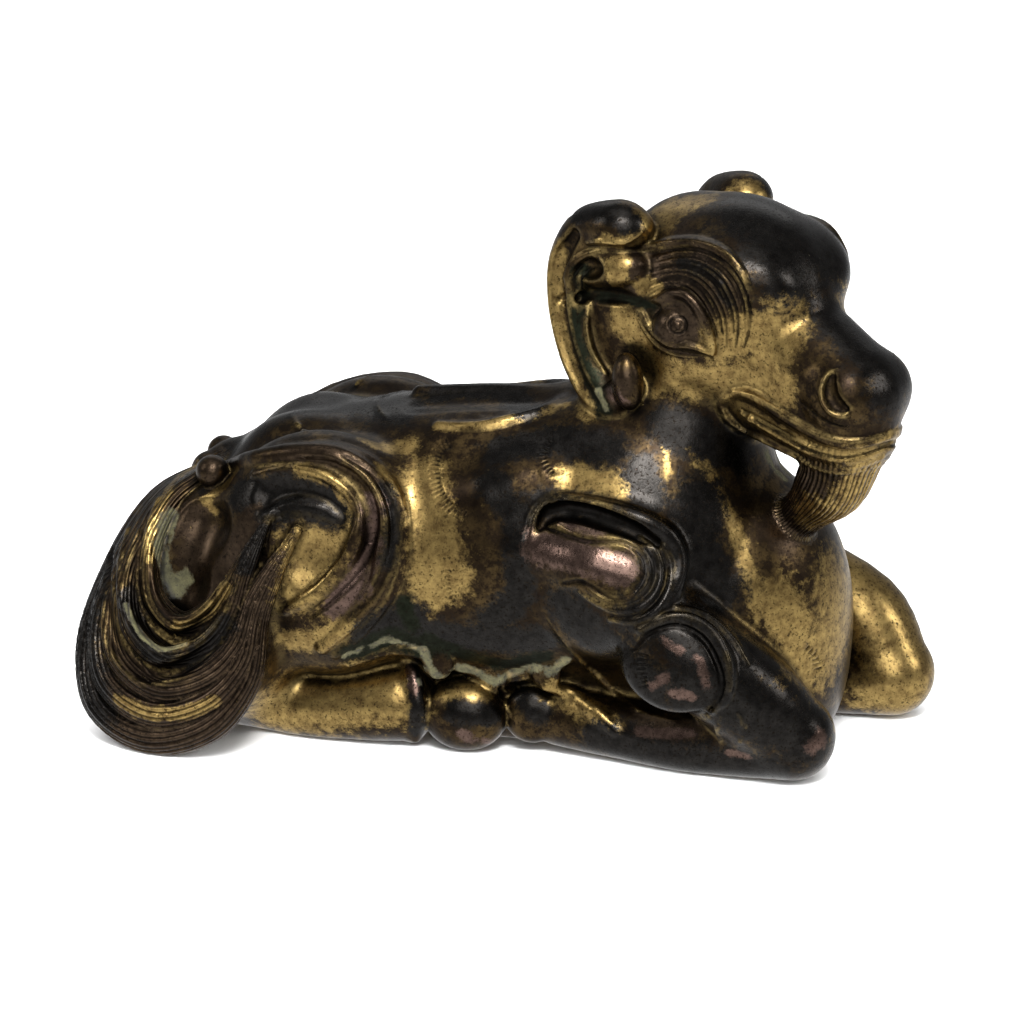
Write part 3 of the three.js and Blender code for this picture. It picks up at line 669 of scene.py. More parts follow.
def face(wax):
    outer, inner = np.array(BROW_OUTER), np.array(BROW_INNER)
    for n in range(BROW_LINES):
        share = (n + 0.6 + 0.15 * math.sin(n * 2.1)) / (BROW_LINES + 0.2)
        line = outer + (inner - outer) * share
        bead(wax, line[n % 2:9 - n % 3], 0.62 + 0.14 * math.cos(n * 1.7), HEAD, cutting=True, blend=0.2)
    bead(wax, BROW_EDGE, 0.5, HEAD, blend=0.3)
    for at in drawn(wax, [EYE_AT], HEAD, sunk=EYE_DEPTH):
        wax.add(pellet(at[0], [EYE_RADIUS] * 3), 0.3)
    bead(wax, ring(EYE_AT, IRIS), 0.5, HEAD, cutting=True, blend=0.2, even=True)
    bead(wax, ring(EYE_AT, PUPIL), 0.35, HEAD, cutting=True, blend=0.1, even=True)
    bead(wax, LID_OVER, 1.5, HEAD, blend=0.5)
    bead(wax, LID_UNDER, 1, HEAD, blend=0.4)
    bead(wax, LID_LINE, 0.7, HEAD, blend=0.3)
    bead(wax, NOSTRIL_RIM, 0.8, HEAD, blend=0.3)
    for points in drawn(wax, MOUTH, HEAD, sunk=0.3):
        wax.add(roll(points, [0.5, 1.1, 1.2, 1.2, 1.2, 1.1, 0.7]), 0.8)
    bead(wax, LIP_LINE, 0.8, HEAD, blend=0.3)
    bead(wax, LIP_CUT, 0.6, HEAD, cutting=True, blend=0.2)
    bead(wax, CHIN_LINE, 0.8, HEAD, blend=0.3)
    bead(wax, CHEEK_LINE, 0.5, HEAD, cutting=True, blend=0.2)
    for at in drawn(wax, [MOUTH_CORNER], HEAD):
        wax.add(pellet(at[0], [0.8] * 3), 0.3)


# %% Ears and horns
EAR_FOLD = [[571, 292], [567, 278], [573, 264], [588, 254], [606, 250]]
EAR_LINES = [
    [[577, 290], [574, 277], [582, 266], [598, 258]],
    [[583, 289], [582, 278], [590, 269], [602, 264]],
]
EAR_RECESS = [[562, 299], [585, 297], [609, 296], [635, 301], [656, 308]]
HORN_SEAM = [[588, 243], [601, 241], [624, 242], [641, 233]]
HORN_LIP = [[590, 303], [587, 320], [588, 338], [595, 357], [606, 374]]


def ears_and_horns(wax):
    bead(wax, EAR_RECESS, 2.6, HEAD, cutting=True, blend=0.8)
    bead(wax, EAR_FOLD, 1.4, HEAD, blend=0.5)
    for line in EAR_LINES:
        bead(wax, line, 0.55, HEAD, cutting=True, blend=0.2)
    bead(wax, HORN_SEAM, 1.1, HEAD, blend=0.4)
    bead(wax, HORN_LIP, 1.1, HEAD, blend=0.4)


# %% Bands of the thigh and shoulder
THIGH_GROOVE = [
    [300, 461], [327, 463], [355, 478], [370, 500], [374, 522],
    [370, 545], [357, 571], [334, 596], [310, 616],
]
THIGH_OUTER_GROOVE = [[345, 456], [372, 473], [388, 498], [394, 530], [388, 565], [372, 594], [348, 618]]
THIGH_LIP_GROOVE = [[268, 482], [298, 478], [326, 487], [345, 508], [347, 533], [335, 560], [314, 584]]
POOL_VALLEY = [[268, 488], [282, 486], [296, 488], [310, 492], [324, 499], [336, 508]]
POOL_RIDGE = [[266, 516], [284, 508], [302, 505], [320, 508], [336, 517]]
RUMP_CREASES = [[[290, 414], [297, 424], [306, 432]], [[377, 401], [380, 411], [387, 419]]]
TAIL_VALLEYS = [
    [[140, 536], [135, 570], [140, 606], [157, 630], [176, 640], [196, 630], [215, 608], [230, 584]],
    [
        [112, 550], [106, 590], [108, 625], [120, 652], [140, 671],
        [165, 673], [192, 661], [214, 641], [232, 610],
    ],
]
TAIL_RIDGES = [
    [[158, 500], [149, 530], [149, 560], [154, 592], [168, 615], [186, 619], [206, 606], [222, 584]],
    [[128, 530], [121, 562], [121, 594], [130, 622], [146, 643], [166, 651], [190, 644]],
]
RIB = [[476, 505], [496, 494], [520, 486], [546, 482]]
TONGUE = [[528, 549], [556, 555], [592, 565], [628, 575]]
TONGUE_CUT = [
    [541, 526], [561, 533], [587, 541], [614, 541], [633, 547], [645, 562],
    [644, 579], [630, 596], [614, 600], [598, 592], [582, 582], [562, 584],
]
TONGUE_RIDGES = [
    [[640, 538], [655, 550], [661, 570], [656, 592], [640, 607], [617, 610], [598, 603], [580, 592]],
    [[664, 545], [671, 566], [668, 592], [655, 611], [634, 621], [610, 619]],
]
BOSS_CUT = [
    [634, 650], [650, 634], [676, 626], [700, 636], [715, 658], [722, 686], [713, 708], [690, 715],
]
BOSS_RIDGES = [
    [[641, 630], [668, 616], [695, 618], [716, 633], [729, 662], [730, 690]],
    [[676, 608], [706, 615], [733, 640], [748, 664]],
]
KNEE_MARKS = [[[722, 716], [717, 728], [721, 741]], [[738, 714], [745, 727], [740, 742]]]
LEG_SEAM = [[548, 618], [566, 643], [587, 666], [610, 689], [640, 711], [676, 722]]
FETLOCK = [[407, 662], [415, 684], [419, 712], [416, 737]]
CLEFT = [[499, 686], [503, 699], [506, 720]]


def bands(wax):
    bead(wax, THIGH_GROOVE, 2, cutting=True, blend=0.9)
    bead(wax, THIGH_OUTER_GROOVE, 1.5, cutting=True, blend=0.8)
    bead(wax, THIGH_LIP_GROOVE, 0.9, cutting=True, blend=0.4)
    dish(wax, POOL_VALLEY, 5, 1.1)
    bead(wax, POOL_RIDGE, 2.6, blend=1.5)
    for crease in RUMP_CREASES:
        bead(wax, crease, 0.8, blend=0.4)
    for valley in TAIL_VALLEYS:
        bead(wax, valley, 3, cutting=True, blend=1)
    for ridge in TAIL_RIDGES:
        bead(wax, ridge, 1.5, blend=0.8)
    for points in drawn(wax, RIB, sunk=4.2):
        wax.add(roll(points, [4, 5.2, 5.4, 4.5]), 3)
    for points in drawn(wax, TONGUE, sunk=3):
        wax.add(roll(points, [3.4, 4.2, 4.4, 3.8]), 2)
    bead(wax, TONGUE_CUT, 1, cutting=True, blend=0.5)
    for ridge in TONGUE_RIDGES:
        bead(wax, ridge, 1.4, blend=0.6)
    bead(wax, BOSS_CUT, 1, cutting=True, blend=0.4)
    for ridge in BOSS_RIDGES:
        bead(wax, ridge, 1.3, blend=0.6)
    for mark in KNEE_MARKS:
        bead(wax, mark, 1, blend=0.4)
    bead(wax, LEG_SEAM, 0.9, blend=0.4)
    bead(wax, FETLOCK, 3.4, blend=1.2)
    bead(wax, CLEFT, 1, cutting=True, blend=0.4)


# %% Ticks
TICK_PITCH = 4.6  # picture units, about 0.8 mm
TICK_WIDTH = 0.36  # mm
TICK_ROWS = [  # how long the ticks of a row are, and the row, in picture units
    (10, [[452, 441], [439, 448], [434, 464], [437, 490], [448, 507], [470, 520]]),
    (6, [[551, 437], [543, 452], [545, 466], [556, 479]]),
    (6, [[448, 566], [446, 583], [450, 598], [458, 608]]),
    (8, [[645, 650], [642, 662], [642, 678], [646, 694]]),
    (8, [[803, 646], [814, 658], [819, 674]]),
]


def ticks(wax, route, length):
    """Short strokes of a chisel side by side across a drawn route."""
    route = curve(route, 200)
    run = np.concatenate([[0], np.cumsum(np.linalg.norm(np.diff(route, axis=0), axis=1))])
    at = np.searchsorted(run, np.arange(TICK_PITCH, run[-1] - TICK_PITCH, TICK_PITCH))
    along = route[at + 1] - route[at - 1]
    across = np.stack([-along[:, 1], along[:, 0]], axis=1) / np.linalg.norm(along, axis=1)[:, None]
    tips = np.concatenate([route[at] - across * length / 2, route[at] + across * length / 2])
    for points in drawn(wax, tips):
        starts, ends = points[:len(at)], points[len(at):]
        thin, thick = np.full(len(at), TICK_WIDTH * 0.3), np.full(len(at), TICK_WIDTH * 0.6)
        wax.cut(rods(starts, ends, thick, thin), 0.15)


# %% Put the wax together
trunk(wax)
thigh(wax, RIGHT)
thigh(wax, LEFT)
volute(wax)
hem(wax)
neck(wax)
for side in (RIGHT, LEFT):
    hindleg(wax, side)
    foreleg(wax, side)
flames(wax)
tail(wax)
head(wax)
beard(wax)
cast_strokes = len(wax.strokes)
face(wax)
ears_and_horns(wax)
bands(wax)
for length, route in TICK_ROWS:
    ticks(wax, route, length)
STAND_EDGE = 0.6  # all that lies below the table top is cut away, with a slightly round edge
wax.cut(Shape([-200] * 3, [200, 200, 6], lambda p: p[:, 2].copy()), STAND_EDGE)
print("strokes:", cast_strokes, "cast,", len(wax.strokes) - cast_strokes, "chased")

# %% [markdown]
# ## The dense casting
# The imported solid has 9,600 flat faces. A copy of it is merged, cut into even small quads by the
# Remesh modifier, and cut finer where the chasing is. Each vertex is then moved onto the surface of
# the wax. The solid gives the mesh its closed form, and the wax gives it its true surface.

# %% Remesh a copy of the solid
VOXEL = 0.6


def points_of(piece):
    co = np.empty(len(piece.data.vertices) * 3, np.float32)
    piece.data.vertices.foreach_get("co", co)
    return co.reshape(-1, 3) / MM


def normals_of(piece):
    n = np.empty(len(piece.data.vertices) * 3, np.float32)
    piece.data.vertex_normals.foreach_get("vector", n)
    return n.reshape(-1, 3)


def place_points(piece, p):
    piece.data.vertices.foreach_set("co", np.float32(p * MM).ravel())
    piece.data.update()


def apply_modifier(piece, kind, **settings):
    modifier = piece.modifiers.new(kind.lower(), kind)
    for key, value in settings.items():
        setattr(modifier, key, value)
    bpy.context.view_layer.objects.active = piece
    bpy.ops.object.modifier_apply(modifier=modifier.name)


bpy.ops.object.select_all(action="DESELECT")
solid = frame["nodes"]["beast"]
casting = solid.copy()
casting.data = solid.data.copy()
casting.name = casting.data.name = "beast_casting"
casting.parent = None
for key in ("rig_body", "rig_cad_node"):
    del casting[key]
bpy.context.scene.collection.objects.link(casting)
bpy.context.view_layer.objects.active = casting
casting.select_set(True)
bpy.ops.object.mode_set(mode="EDIT")
bpy.ops.mesh.select_all(action="SELECT")
bpy.ops.mesh.remove_doubles(threshold=1e-6)
bpy.ops.object.mode_set(mode="OBJECT")
bpy.ops.mesh.customdata_custom_splitnormals_clear()
apply_modifier(casting, "REMESH", mode="VOXEL", voxel_size=VOXEL * MM)
print("remeshed:", len(casting.data.vertices), "vertices")

# %% Cut the quads finer round the chasing
FINE_ZONES = [  # radius in mm, drawn place, on both sides or on the near one only
    (21, [165, 690], 1), (17, [235, 600], 1), (13, [180, 520], 1),
    (24, [700, 330], 2), (17, [855, 430], 2), (14, [590, 260], 2), (12, [592, 370], 2),
    (13, [820, 500], 2), (13, [600, 560], 2), (11, [680, 665], 2), (9, [450, 480], 2),
    (5, [548, 458], 2), (6, [450, 588], 2), (5, [810, 660], 2),
]


HEAD_CORNER = (540, 440)  # in the drawing, the head lies right of this and above it


def part_of(route):
    """What a drawn route is mirrored with: the turned head, or the body."""
    on_head = route[0][0] > HEAD_CORNER[0] and max(v for _, v in route) < HEAD_CORNER[1]
    return HEAD if on_head else BODY


def select_zones(piece, zones):
    p = points_of(piece)
    chosen = np.zeros(len(p), bool)
    for radius, at, sides in zones:
        for middle in drawn(wax, [at], part_of([at]))[:sides]:
            chosen |= ((p - np.float32(middle[0])) ** 2).sum(1) < radius ** 2
    piece.data.polygons.foreach_set("select", np.zeros(len(piece.data.polygons), bool))
    piece.data.edges.foreach_set("select", np.zeros(len(piece.data.edges), bool))
    piece.data.vertices.foreach_set("select", chosen)


select_zones(casting, FINE_ZONES)
bpy.ops.object.mode_set(mode="EDIT")
bpy.ops.mesh.select_mode(type="VERT")
bpy.ops.mesh.subdivide(number_cuts=1)
bpy.ops.object.mode_set(mode="OBJECT")
print("subdivided:", len(casting.data.vertices), "vertices")


# %% Move the vertices onto the wax
def edges_of(piece):
    pairs = np.empty(len(piece.data.edges) * 2, np.int32)
    piece.data.edges.foreach_get("vertices", pairs)
    return pairs.reshape(-1, 2)


def neighbour_mean(values, pairs):
    count = np.bincount(pairs.ravel(), minlength=len(values))
    sums = [
        np.bincount(pairs[:, 0], column[pairs[:, 1]], len(values))
        + np.bincount(pairs[:, 1], column[pairs[:, 0]], len(values))
        for column in values.T
    ]
    return np.float32(np.stack(sums, axis=1) / count[:, None])


def settle(piece, rounds):
    """Moves each vertex along its normal to the wax, then evens the vertices out along the surface."""
    pairs = edges_of(piece)
    for turn in range(rounds):
        p, n = points_of(piece), normals_of(piece)
        value = wax.at(p)
        first = -np.clip(value, -0.5, 0.5)
        left = wax.at(p + first[:, None] * n)
        slope = np.clip((left - value) / np.where(np.abs(first) < 1e-3, 1e9, first), 0.35, 1.2)
        p = p + (first - np.clip(left / slope, -0.4, 0.4))[:, None] * n
        if turn < rounds - 1:
            place_points(piece, p)
            n = normals_of(piece)
            pull = neighbour_mean(p, pairs) - p
            pull -= (pull * n).sum(1)[:, None] * n
            p = p + 0.6 * pull
        p[:, 2] = np.maximum(p[:, 2], 0)
        place_points(piece, p)
    return float(np.abs(wax.at(p)[p[:, 2] > 1]).mean())


print("left between mesh and wax:", round(settle(casting, 2), 4), "mm on average")

# %% Thin the mesh where it is flat
TRIANGLES = 196000


def inside_box(p):
    low, high = (np.float32(corner) / MM for corner in CAD_BOX)
    return np.clip(p, low, high)


triangles = sum(len(f.vertices) - 2 for f in casting.data.polygons)
apply_modifier(casting, "DECIMATE", ratio=TRIANGLES / triangles, use_collapse_triangulate=True)
place_points(casting, inside_box(points_of(casting)))
bpy.ops.object.select_all(action="DESELECT")
casting.select_set(True)
bpy.ops.object.shade_smooth()
print("casting:", triangles, "triangles thinned to", len(casting.data.polygons))

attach(casting, "root")
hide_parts("beast")

# %% [markdown]
# ## Where the gold is left
# Fire gilding wears away where hands touch it and goes dull where dirt lies. Each finish is laid on
# as soft patches along drawn routes, stored on the mesh with a value that falls to nothing at the
# patch's edge, and the shader breaks the edges up. Hollows and ridges are measured in the wax itself:
# just above a hollow the metal is nearer than it should be, and just under a ridge the air is. The
# hollows are darkened, with dirt and with painted shade.

# %% Patches: radius in millimetres and drawn route
PATCHES = {
    "gilt": [
        (7, [[788, 312], [780, 338], [765, 368]]), (6, [[650, 368], [695, 382], [740, 378], [780, 388]]),
        (4, [[622, 315], [642, 350], [656, 385]]), (2.6, [[640, 285], [655, 288]]),
        (3, [[618, 262], [617, 280]]), (2.2, [[602, 243], [640, 236]]), (6, [[722, 345], [750, 330]]),
        (3, [[556, 250], [553, 290], [556, 330], [566, 365], [580, 398], [592, 414]]),
        (3.4, [[740, 410], [790, 436], [850, 455], [892, 440]]), (6, [[652, 222], [672, 206], [698, 200]]),
        (7, [[868, 470], [862, 490], [845, 508], [815, 518]]), (0.9, [[664, 440], [668, 475]]),
        (2.2, [[692, 445], [712, 480], [733, 520], [745, 560], [752, 600]]),
        (4.5, [[570, 478], [600, 480], [618, 486]]), (11, [[838, 590], [842, 615], [826, 650]]),
        (7, [[775, 600], [795, 630], [805, 670]]), (14, [[855, 560], [890, 610], [915, 660], [900, 690]]),
        (7, [[425, 480], [432, 520], [436, 560], [430, 590]]), (6, [[440, 545], [452, 580]]),
        (7, [[300, 545], [322, 550], [300, 590]]), (2.6, [[300, 471], [335, 484], [348, 508], [345, 545]]),
        (3, [[384, 470], [404, 490], [412, 500]]), (4, [[292, 640], [320, 640], [345, 628]]),
        (10, [[275, 708], [320, 702], [365, 694], [395, 688]]), (4, [[445, 690], [480, 690]]),
        (4, [[530, 690], [560, 690], [585, 710], [610, 728]]), (1.8, [[438, 425], [490, 424], [565, 404]]),
        (2, [[196, 465], [168, 490], [152, 520], [149, 556]]), (1.4, [[205, 500], [215, 512]]),
        (2, [[118, 700], [150, 714], [185, 714], [214, 702]]), (1.8, [[228, 590], [205, 615], [175, 628]]),
        (1.6, [[236, 472], [226, 484], [210, 497]]), (3, [[370, 442], [410, 446]]),
    ],
    "dark": [
        (13, [[758, 212], [800, 225], [832, 255]]), (5, [[752, 255], [790, 270]]),
        (9, [[838, 320], [870, 350], [895, 385]]), (2, [[680, 262], [715, 275], [728, 300]]),
        (4, [[580, 212], [610, 212], [630, 222]]), (7, [[668, 425], [700, 440], [740, 450]]),
        (9, [[270, 415], [330, 400], [400, 410]]), (5, [[440, 392], [500, 386], [560, 378]]),
        (5, [[490, 480], [520, 520], [520, 600], [490, 620]]), (6, [[420, 632], [480, 640], [540, 640]]),
        # The almond hollow above the pool, the groove outside the thigh's rim and, on the next line, the
        # shoulder's trough: these patches are painted shade
        (5, [[240, 495], [280, 486], [325, 498]]), (3, [[386, 490], [392, 520], [388, 560]]),
        (5, [[540, 505], [580, 508], [630, 520], [668, 540]]), (8, [[570, 610], [600, 640], [650, 690]]),
        (9, [[660, 560], [668, 600], [690, 640], [740, 680]]), (12, [[700, 690], [760, 710], [810, 735]]),
        (8, [[640, 620], [700, 620], [760, 660]]), (7, [[600, 740], [680, 760], [770, 770]]),
        (9, [[100, 540], [84, 620], [95, 700]]), (4, [[128, 600], [150, 650], [190, 660], [225, 625]]),
        (3, [[262, 530], [245, 565]]), (6, [[370, 630], [410, 615]]), (4, [[520, 690], [540, 712]]),
        (9, [[700, 500], [690, 540], [715, 590]]), (6, [[640, 470], [650, 500]]),
        (4, [[455, 712], [490, 715]]), (6, [[500, 450], [560, 440], [610, 450]]),
        (5, [[268, 512], [300, 506], [334, 514]]), (2.6, [[413, 668], [418, 700], [417, 732]]),
    ],
    "rose": [
        (5, [[538, 545], [575, 555], [620, 568]]), (2.4, [[565, 522], [600, 532]]),
        (4, [[372, 505], [374, 545], [360, 582], [336, 606]]), (1.5, [[652, 686], [664, 678]]),
        (1.7, [[674, 694], [690, 696]]), (1.3, [[662, 640], [680, 650]]), (1.3, [[700, 660], [706, 684]]),
        (1.5, [[640, 731], [666, 734], [690, 732]]), (1.2, [[728, 752], [748, 756]]),
        (1.4, [[410, 668], [414, 690]]), (1.9, [[462, 735], [500, 738]]), (2.4, [[812, 748], [822, 738]]),
        (3, [[612, 385], [618, 400]]),
    ],
    "brown": [
        (12, [[120, 700], [160, 735], [205, 720], [235, 670]]), (8, [[250, 630], [262, 580], [285, 545]]),
        (6, [[200, 600], [240, 545], [262, 518]]), (6, [[195, 520], [200, 560]]),
        (6, [[782, 530], [796, 505], [805, 485]]), (8, [[650, 275], [690, 300], [680, 330]]),
        (4, [[610, 395], [622, 380]]), (4, [[640, 731], [690, 733]]), (6, [[660, 215], [675, 230]]),
        (5, [[220, 458], [218, 480]]), (5, [[300, 450], [350, 452], [380, 470]]),
        (6, [[700, 265], [722, 290]]),
    ],
    "mould": [
        (3.4, [[574, 305], [572, 330], [580, 360], [592, 388], [603, 408]]), (3, [[584, 292], [582, 272]]),
        (1.8, [[572, 298], [610, 297], [652, 305]]), (4, [[350, 652], [390, 638], [420, 646]]),
        (3, [[430, 640], [470, 656], [505, 664], [545, 656]]), (2.6, [[404, 600], [412, 625]]),
    ],
    "verdigris": [
        (2.6, [[170, 518], [160, 545], [163, 572], [177, 590], [186, 579]]),
        (0.9, [[126, 605], [140, 634], [160, 650], [185, 644]]),
        (1.4, [[425, 650], [435, 677], [455, 667], [480, 673], [494, 683], [510, 673], [535, 668]]),
        (1.4, [[535, 668], [553, 672], [566, 660]]), (1, [[345, 655], [385, 640], [425, 650]]),
        (1.3, [[598, 392], [606, 408]]), (1.6, [[766, 452], [784, 478]]), (1, [[420, 682], [424, 668]]),
    ],
}


def store(piece, name, value):
    piece.data.attributes.new(name, "FLOAT", "POINT").data.foreach_set("value", value)


def painted(piece, name, patches, p):
    value = np.zeros(len(p), np.float32)
    for radius, route in patches:
        for points in drawn(wax, route, part_of(route)):
            low, high = np.float32(points.min(0) - radius), np.float32(points.max(0) + radius)
            near = np.flatnonzero(((p > low) & (p < high)).all(1))
            if len(near):
                thin = np.full(len(route) - 1, 0.01)
                away = rods(points[:-1], points[1:], thin, thin).distance(p[near])
                value[near] = np.maximum(value[near], 1 - away / radius)
    store(piece, name, np.clip(value, 0, 1))
    print(name, "covers", round(100 * float((value > 0.4).mean())), "% of the vertices")


def nearness(piece, name, height, p, n):
    """How much nearer the metal is than it should be at a height, or the air at a height below 0."""
    value = 1 - wax.at(p + height * n) / height
    store(piece, name, np.clip(value, 0, 1))
    print(name, "is", round(float(np.clip(value, 0, 1).mean()), 3), "on average")


def combed(piece, p):
    """The number of the hair at each vertex, and how near the vertex is to the hair at all."""
    number, away = np.zeros(len(p), np.float32), np.ones(len(p), np.float32)
    rolls = [(path, radii, BODY, TAIL_FACES) for path, radii in strands()]
    rolls.append((BEARD, BEARD_RADIUS, HEAD, BEARD_FACES))
    for seed, (path, radii, place, faces) in enumerate(rolls):
        bare = roll(path, radii, place)
        counted = roll(path, radii, place, hair=partings(faces, seed))
        near = np.flatnonzero(((p > bare.low - 1) & (p < bare.high + 1)).all(1))
        distance = bare.distance(p[near])
        closer = distance < away[near]
        number[near[closer]] = (counted.distance(p[near]) - distance)[closer]
        away[near[closer]] = distance[closer]
    store(piece, "hair_number", number)
    store(piece, "hair", np.clip(1.2 - away, 0, 1))


p, n = points_of(casting), normals_of(casting)
for name, patches in PATCHES.items():
    painted(casting, name, patches, p)
combed(casting, p)
# groove and valley measure the hollows, which the shader darkens with dirt and painted shade
for name, height in (("groove", 0.5), ("valley", 2.5), ("ridge", -0.7)):
    nearness(casting, name, height, p, n)


# %% [markdown]
# ## The finish
# The real surface is fire gilding on cast bronze. Gold dissolved in mercury was brushed on, the
# mercury driven off by heat, and the gold burnished. Handling has worn it through in patches, so the
# eye meets the gold and five other finishes beside it, with bare bronze under them all. One shader
# carries them, because they pass into each other with ragged edges and no seam.

# %% Nodes and colours
def linear(code):
    """An sRGB hex colour as linear values, the way Blender's sockets take it."""
    channels = [int(code[i:i + 2], 16) / 255 for i in (1, 3, 5)]
    return tuple(c / 12.92 if c <= 0.04045 else ((c + 0.055) / 1.055) ** 2.4 for c in channels) + (1,)


def node(material, kind, sockets=(), output=0, **settings):
    """Adds a node. Each socket gets a plain value, or another node's output to link to it."""
    made = material.node_tree.nodes.new(kind)
    for key, value in settings.items():
        setattr(made, key, value)
    for socket, given in dict(sockets).items():
        if isinstance(given, bpy.types.NodeSocket):
            material.node_tree.links.new(given, made.inputs[socket])
        else:
            made.inputs[socket].default_value = given
    return made.outputs[output] if made.outputs else made


# %% Bare cast bronze under the gold: an even brown, clouded where it was handled
BLOTCH = 9 * MM  # a cloud of wear, as wide as a fingertip
FLAKE = 2.2 * MM  # a flake of gilding
PORE = 0.5 * MM  # the pores of the casting's skin, drawn at twice their size so that they show

bronze = bpy.data.materials.new("worn fire gilding on bronze")
bronze.use_nodes = True
bronze.node_tree.nodes.clear()
where = node(bronze, "ShaderNodeTexCoord", output="Object")
blotch = node(bronze, "ShaderNodeTexNoise", {
    "Vector": where, "Scale": 1 / BLOTCH, "Detail": 8, "Roughness": 0.62})
flake = node(bronze, "ShaderNodeTexNoise", {
    "Vector": where, "Scale": 1 / FLAKE, "Detail": 8, "Roughness": 0.7})
speck = node(bronze, "ShaderNodeTexNoise", {
    "Vector": where, "Scale": 1 / PORE, "Detail": 4, "Roughness": 0.6})
clouds = node(bronze, "ShaderNodeMapRange", {"Value": blotch, "From Min": 0.38, "From Max": 0.62})
colour = node(bronze, "ShaderNodeMixRGB", {
    "Fac": clouds, "Color1": linear("#241c16"), "Color2": linear("#5c4b30")})
flaked = node(bronze, "ShaderNodeMapRange", {"Value": flake, "From Min": 0.44, "From Max": 0.56})
colour = node(bronze, "ShaderNodeMixRGB", {
    "Fac": flaked, "Color1": colour, "Color2": linear("#2b2219")})
metallic = 1.0
rough = node(bronze, "ShaderNodeMapRange", {
    "Value": flake, "From Min": 0.3, "From Max": 0.7, "To Min": 0.26, "To Max": 0.4})

# %% [markdown]
# The finishes, from the first laid to the last. Brown patina lies on the hair. Burnished gilding is a
# warm, slightly olive gold, with dark specks where it has worn through over the pores. Oxidised bronze
# is nearly black, and shows little but its highlights; a few of its patches lie in hollows, where they
# are painted shade. Where the metal under the gold is rich in copper and rubbed bare, it is a dusky
# rose. Black-green dirt is a film so thin that the metal shines dully through it. Verdigris, which is
# basic copper carbonate, is no metal: it is matt, and makes the hollows look old.

# %% Finishes in patches
FINISHES = [  # name, two colours, metallic, roughness, how ragged its edge is, how soft
    ("brown", "#504234", "#2f261f", 1.0, 0.28, 0.60, 0.25),
    ("gilt", "#b89c60", "#705a36", 1.0, 0.30, 1.05, 0.16),
    ("dark", "#302e2c", "#1b1a19", 1.0, 0.25, 0.80, 0.16),
    ("rose", "#786258", "#4a3b35", 1.0, 0.22, 0.90, 0.16),
    ("mould", "#272b21", "#161911", 1.0, 0.45, 0.80, 0.20),
    ("verdigris", "#6b6745", "#3b3925", 0.0, 0.80, 0.80, 0.14),
]
EDGE = 2 * MM  # how wide the ragged edge of a patch wanders
TONE = 1.6 * MM  # a cloud of lighter or deeper tone inside a finish
BRINK = 0.67  # how much of a patch's value and noise together makes the finish show

masks = {}
for number, (name, light, deep, metal, gloss, ragged, soft) in enumerate(FINISHES):
    wander = node(bronze, "ShaderNodeTexNoise", {
        "Vector": where, "Scale": 1 / EDGE, "Detail": 9, "Roughness": 0.74, "W": 10 + number,
    }, noise_dimensions="4D")
    patch = node(bronze, "ShaderNodeAttribute", output="Fac", attribute_name=name)
    edge = node(bronze, "ShaderNodeMath", {
        0: wander, 1: ragged * 2, 2: -ragged}, operation="MULTIPLY_ADD")
    crumbled = node(bronze, "ShaderNodeMath", {0: speck, 1: 0.5, 2: edge}, operation="MULTIPLY_ADD")
    reach = node(bronze, "ShaderNodeMath", {0: patch, 1: crumbled}, operation="ADD")
    mask = node(bronze, "ShaderNodeMapRange", {
        "Value": reach, "From Min": BRINK - soft, "From Max": BRINK + soft})
    grain = node(bronze, "ShaderNodeTexNoise", {
        "Vector": where, "Scale": 1 / TONE, "Detail": 7, "Roughness": 0.68, "W": 20 + number,
    }, noise_dimensions="4D")
    share = node(bronze, "ShaderNodeMapRange", {"Value": grain, "From Min": 0.36, "From Max": 0.66})
    tone = node(bronze, "ShaderNodeMixRGB", {
        "Fac": share, "Color1": linear(light), "Color2": linear(deep)})
    colour = node(bronze, "ShaderNodeMixRGB", {"Fac": mask, "Color1": colour, "Color2": tone})
    metallic = node(bronze, "ShaderNodeMix", {0: mask, 2: metallic, 3: metal})
    rough = node(bronze, "ShaderNodeMix", {0: mask, 2: rough, 3: gloss})
    masks[name] = mask
print("finishes:", ", ".join(masks))

# %% Hairs: the grooves that the mesh holds between them are painted dark, as painted shade
number = node(bronze, "ShaderNodeAttribute", output="Fac", attribute_name="hair_number")
haired = node(bronze, "ShaderNodeAttribute", output="Fac", attribute_name="hair")
angle = node(bronze, "ShaderNodeMath", {0: number, 1: 2 * math.pi}, operation="MULTIPLY")
between = node(bronze, "ShaderNodeMath", {0: angle}, operation="COSINE")
between = node(bronze, "ShaderNodeMath", {0: between, 1: haired}, operation="MULTIPLY")
parting_shade = node(bronze, "ShaderNodeMapRange", {
    "Value": between, "From Min": 0.0, "From Max": 0.9, "To Min": 0.0, "To Max": 0.8})
# Each groove between hairs is painted near black: painted shade in the grooves
colour = node(bronze, "ShaderNodeMixRGB", {"Fac": parting_shade, "Color1": colour, "Color2": linear("#14100d")})

# %% Dirt and painted shade in the hollows, rubbed ridges and pores
relief_of = {}
for name, low, high in (("groove", 0.12, 0.5), ("valley", 0.35, 0.8), ("ridge", 0.15, 0.5)):
    value = node(bronze, "ShaderNodeAttribute", output="Fac", attribute_name=name)
    relief_of[name] = node(bronze, "ShaderNodeMapRange", {"Value": value, "From Min": low, "From Max": high})
held = node(bronze, "ShaderNodeMapRange", {
    "Value": flake, "From Min": 0.3, "From Max": 0.6, "To Min": 0.55, "To Max": 0.95})
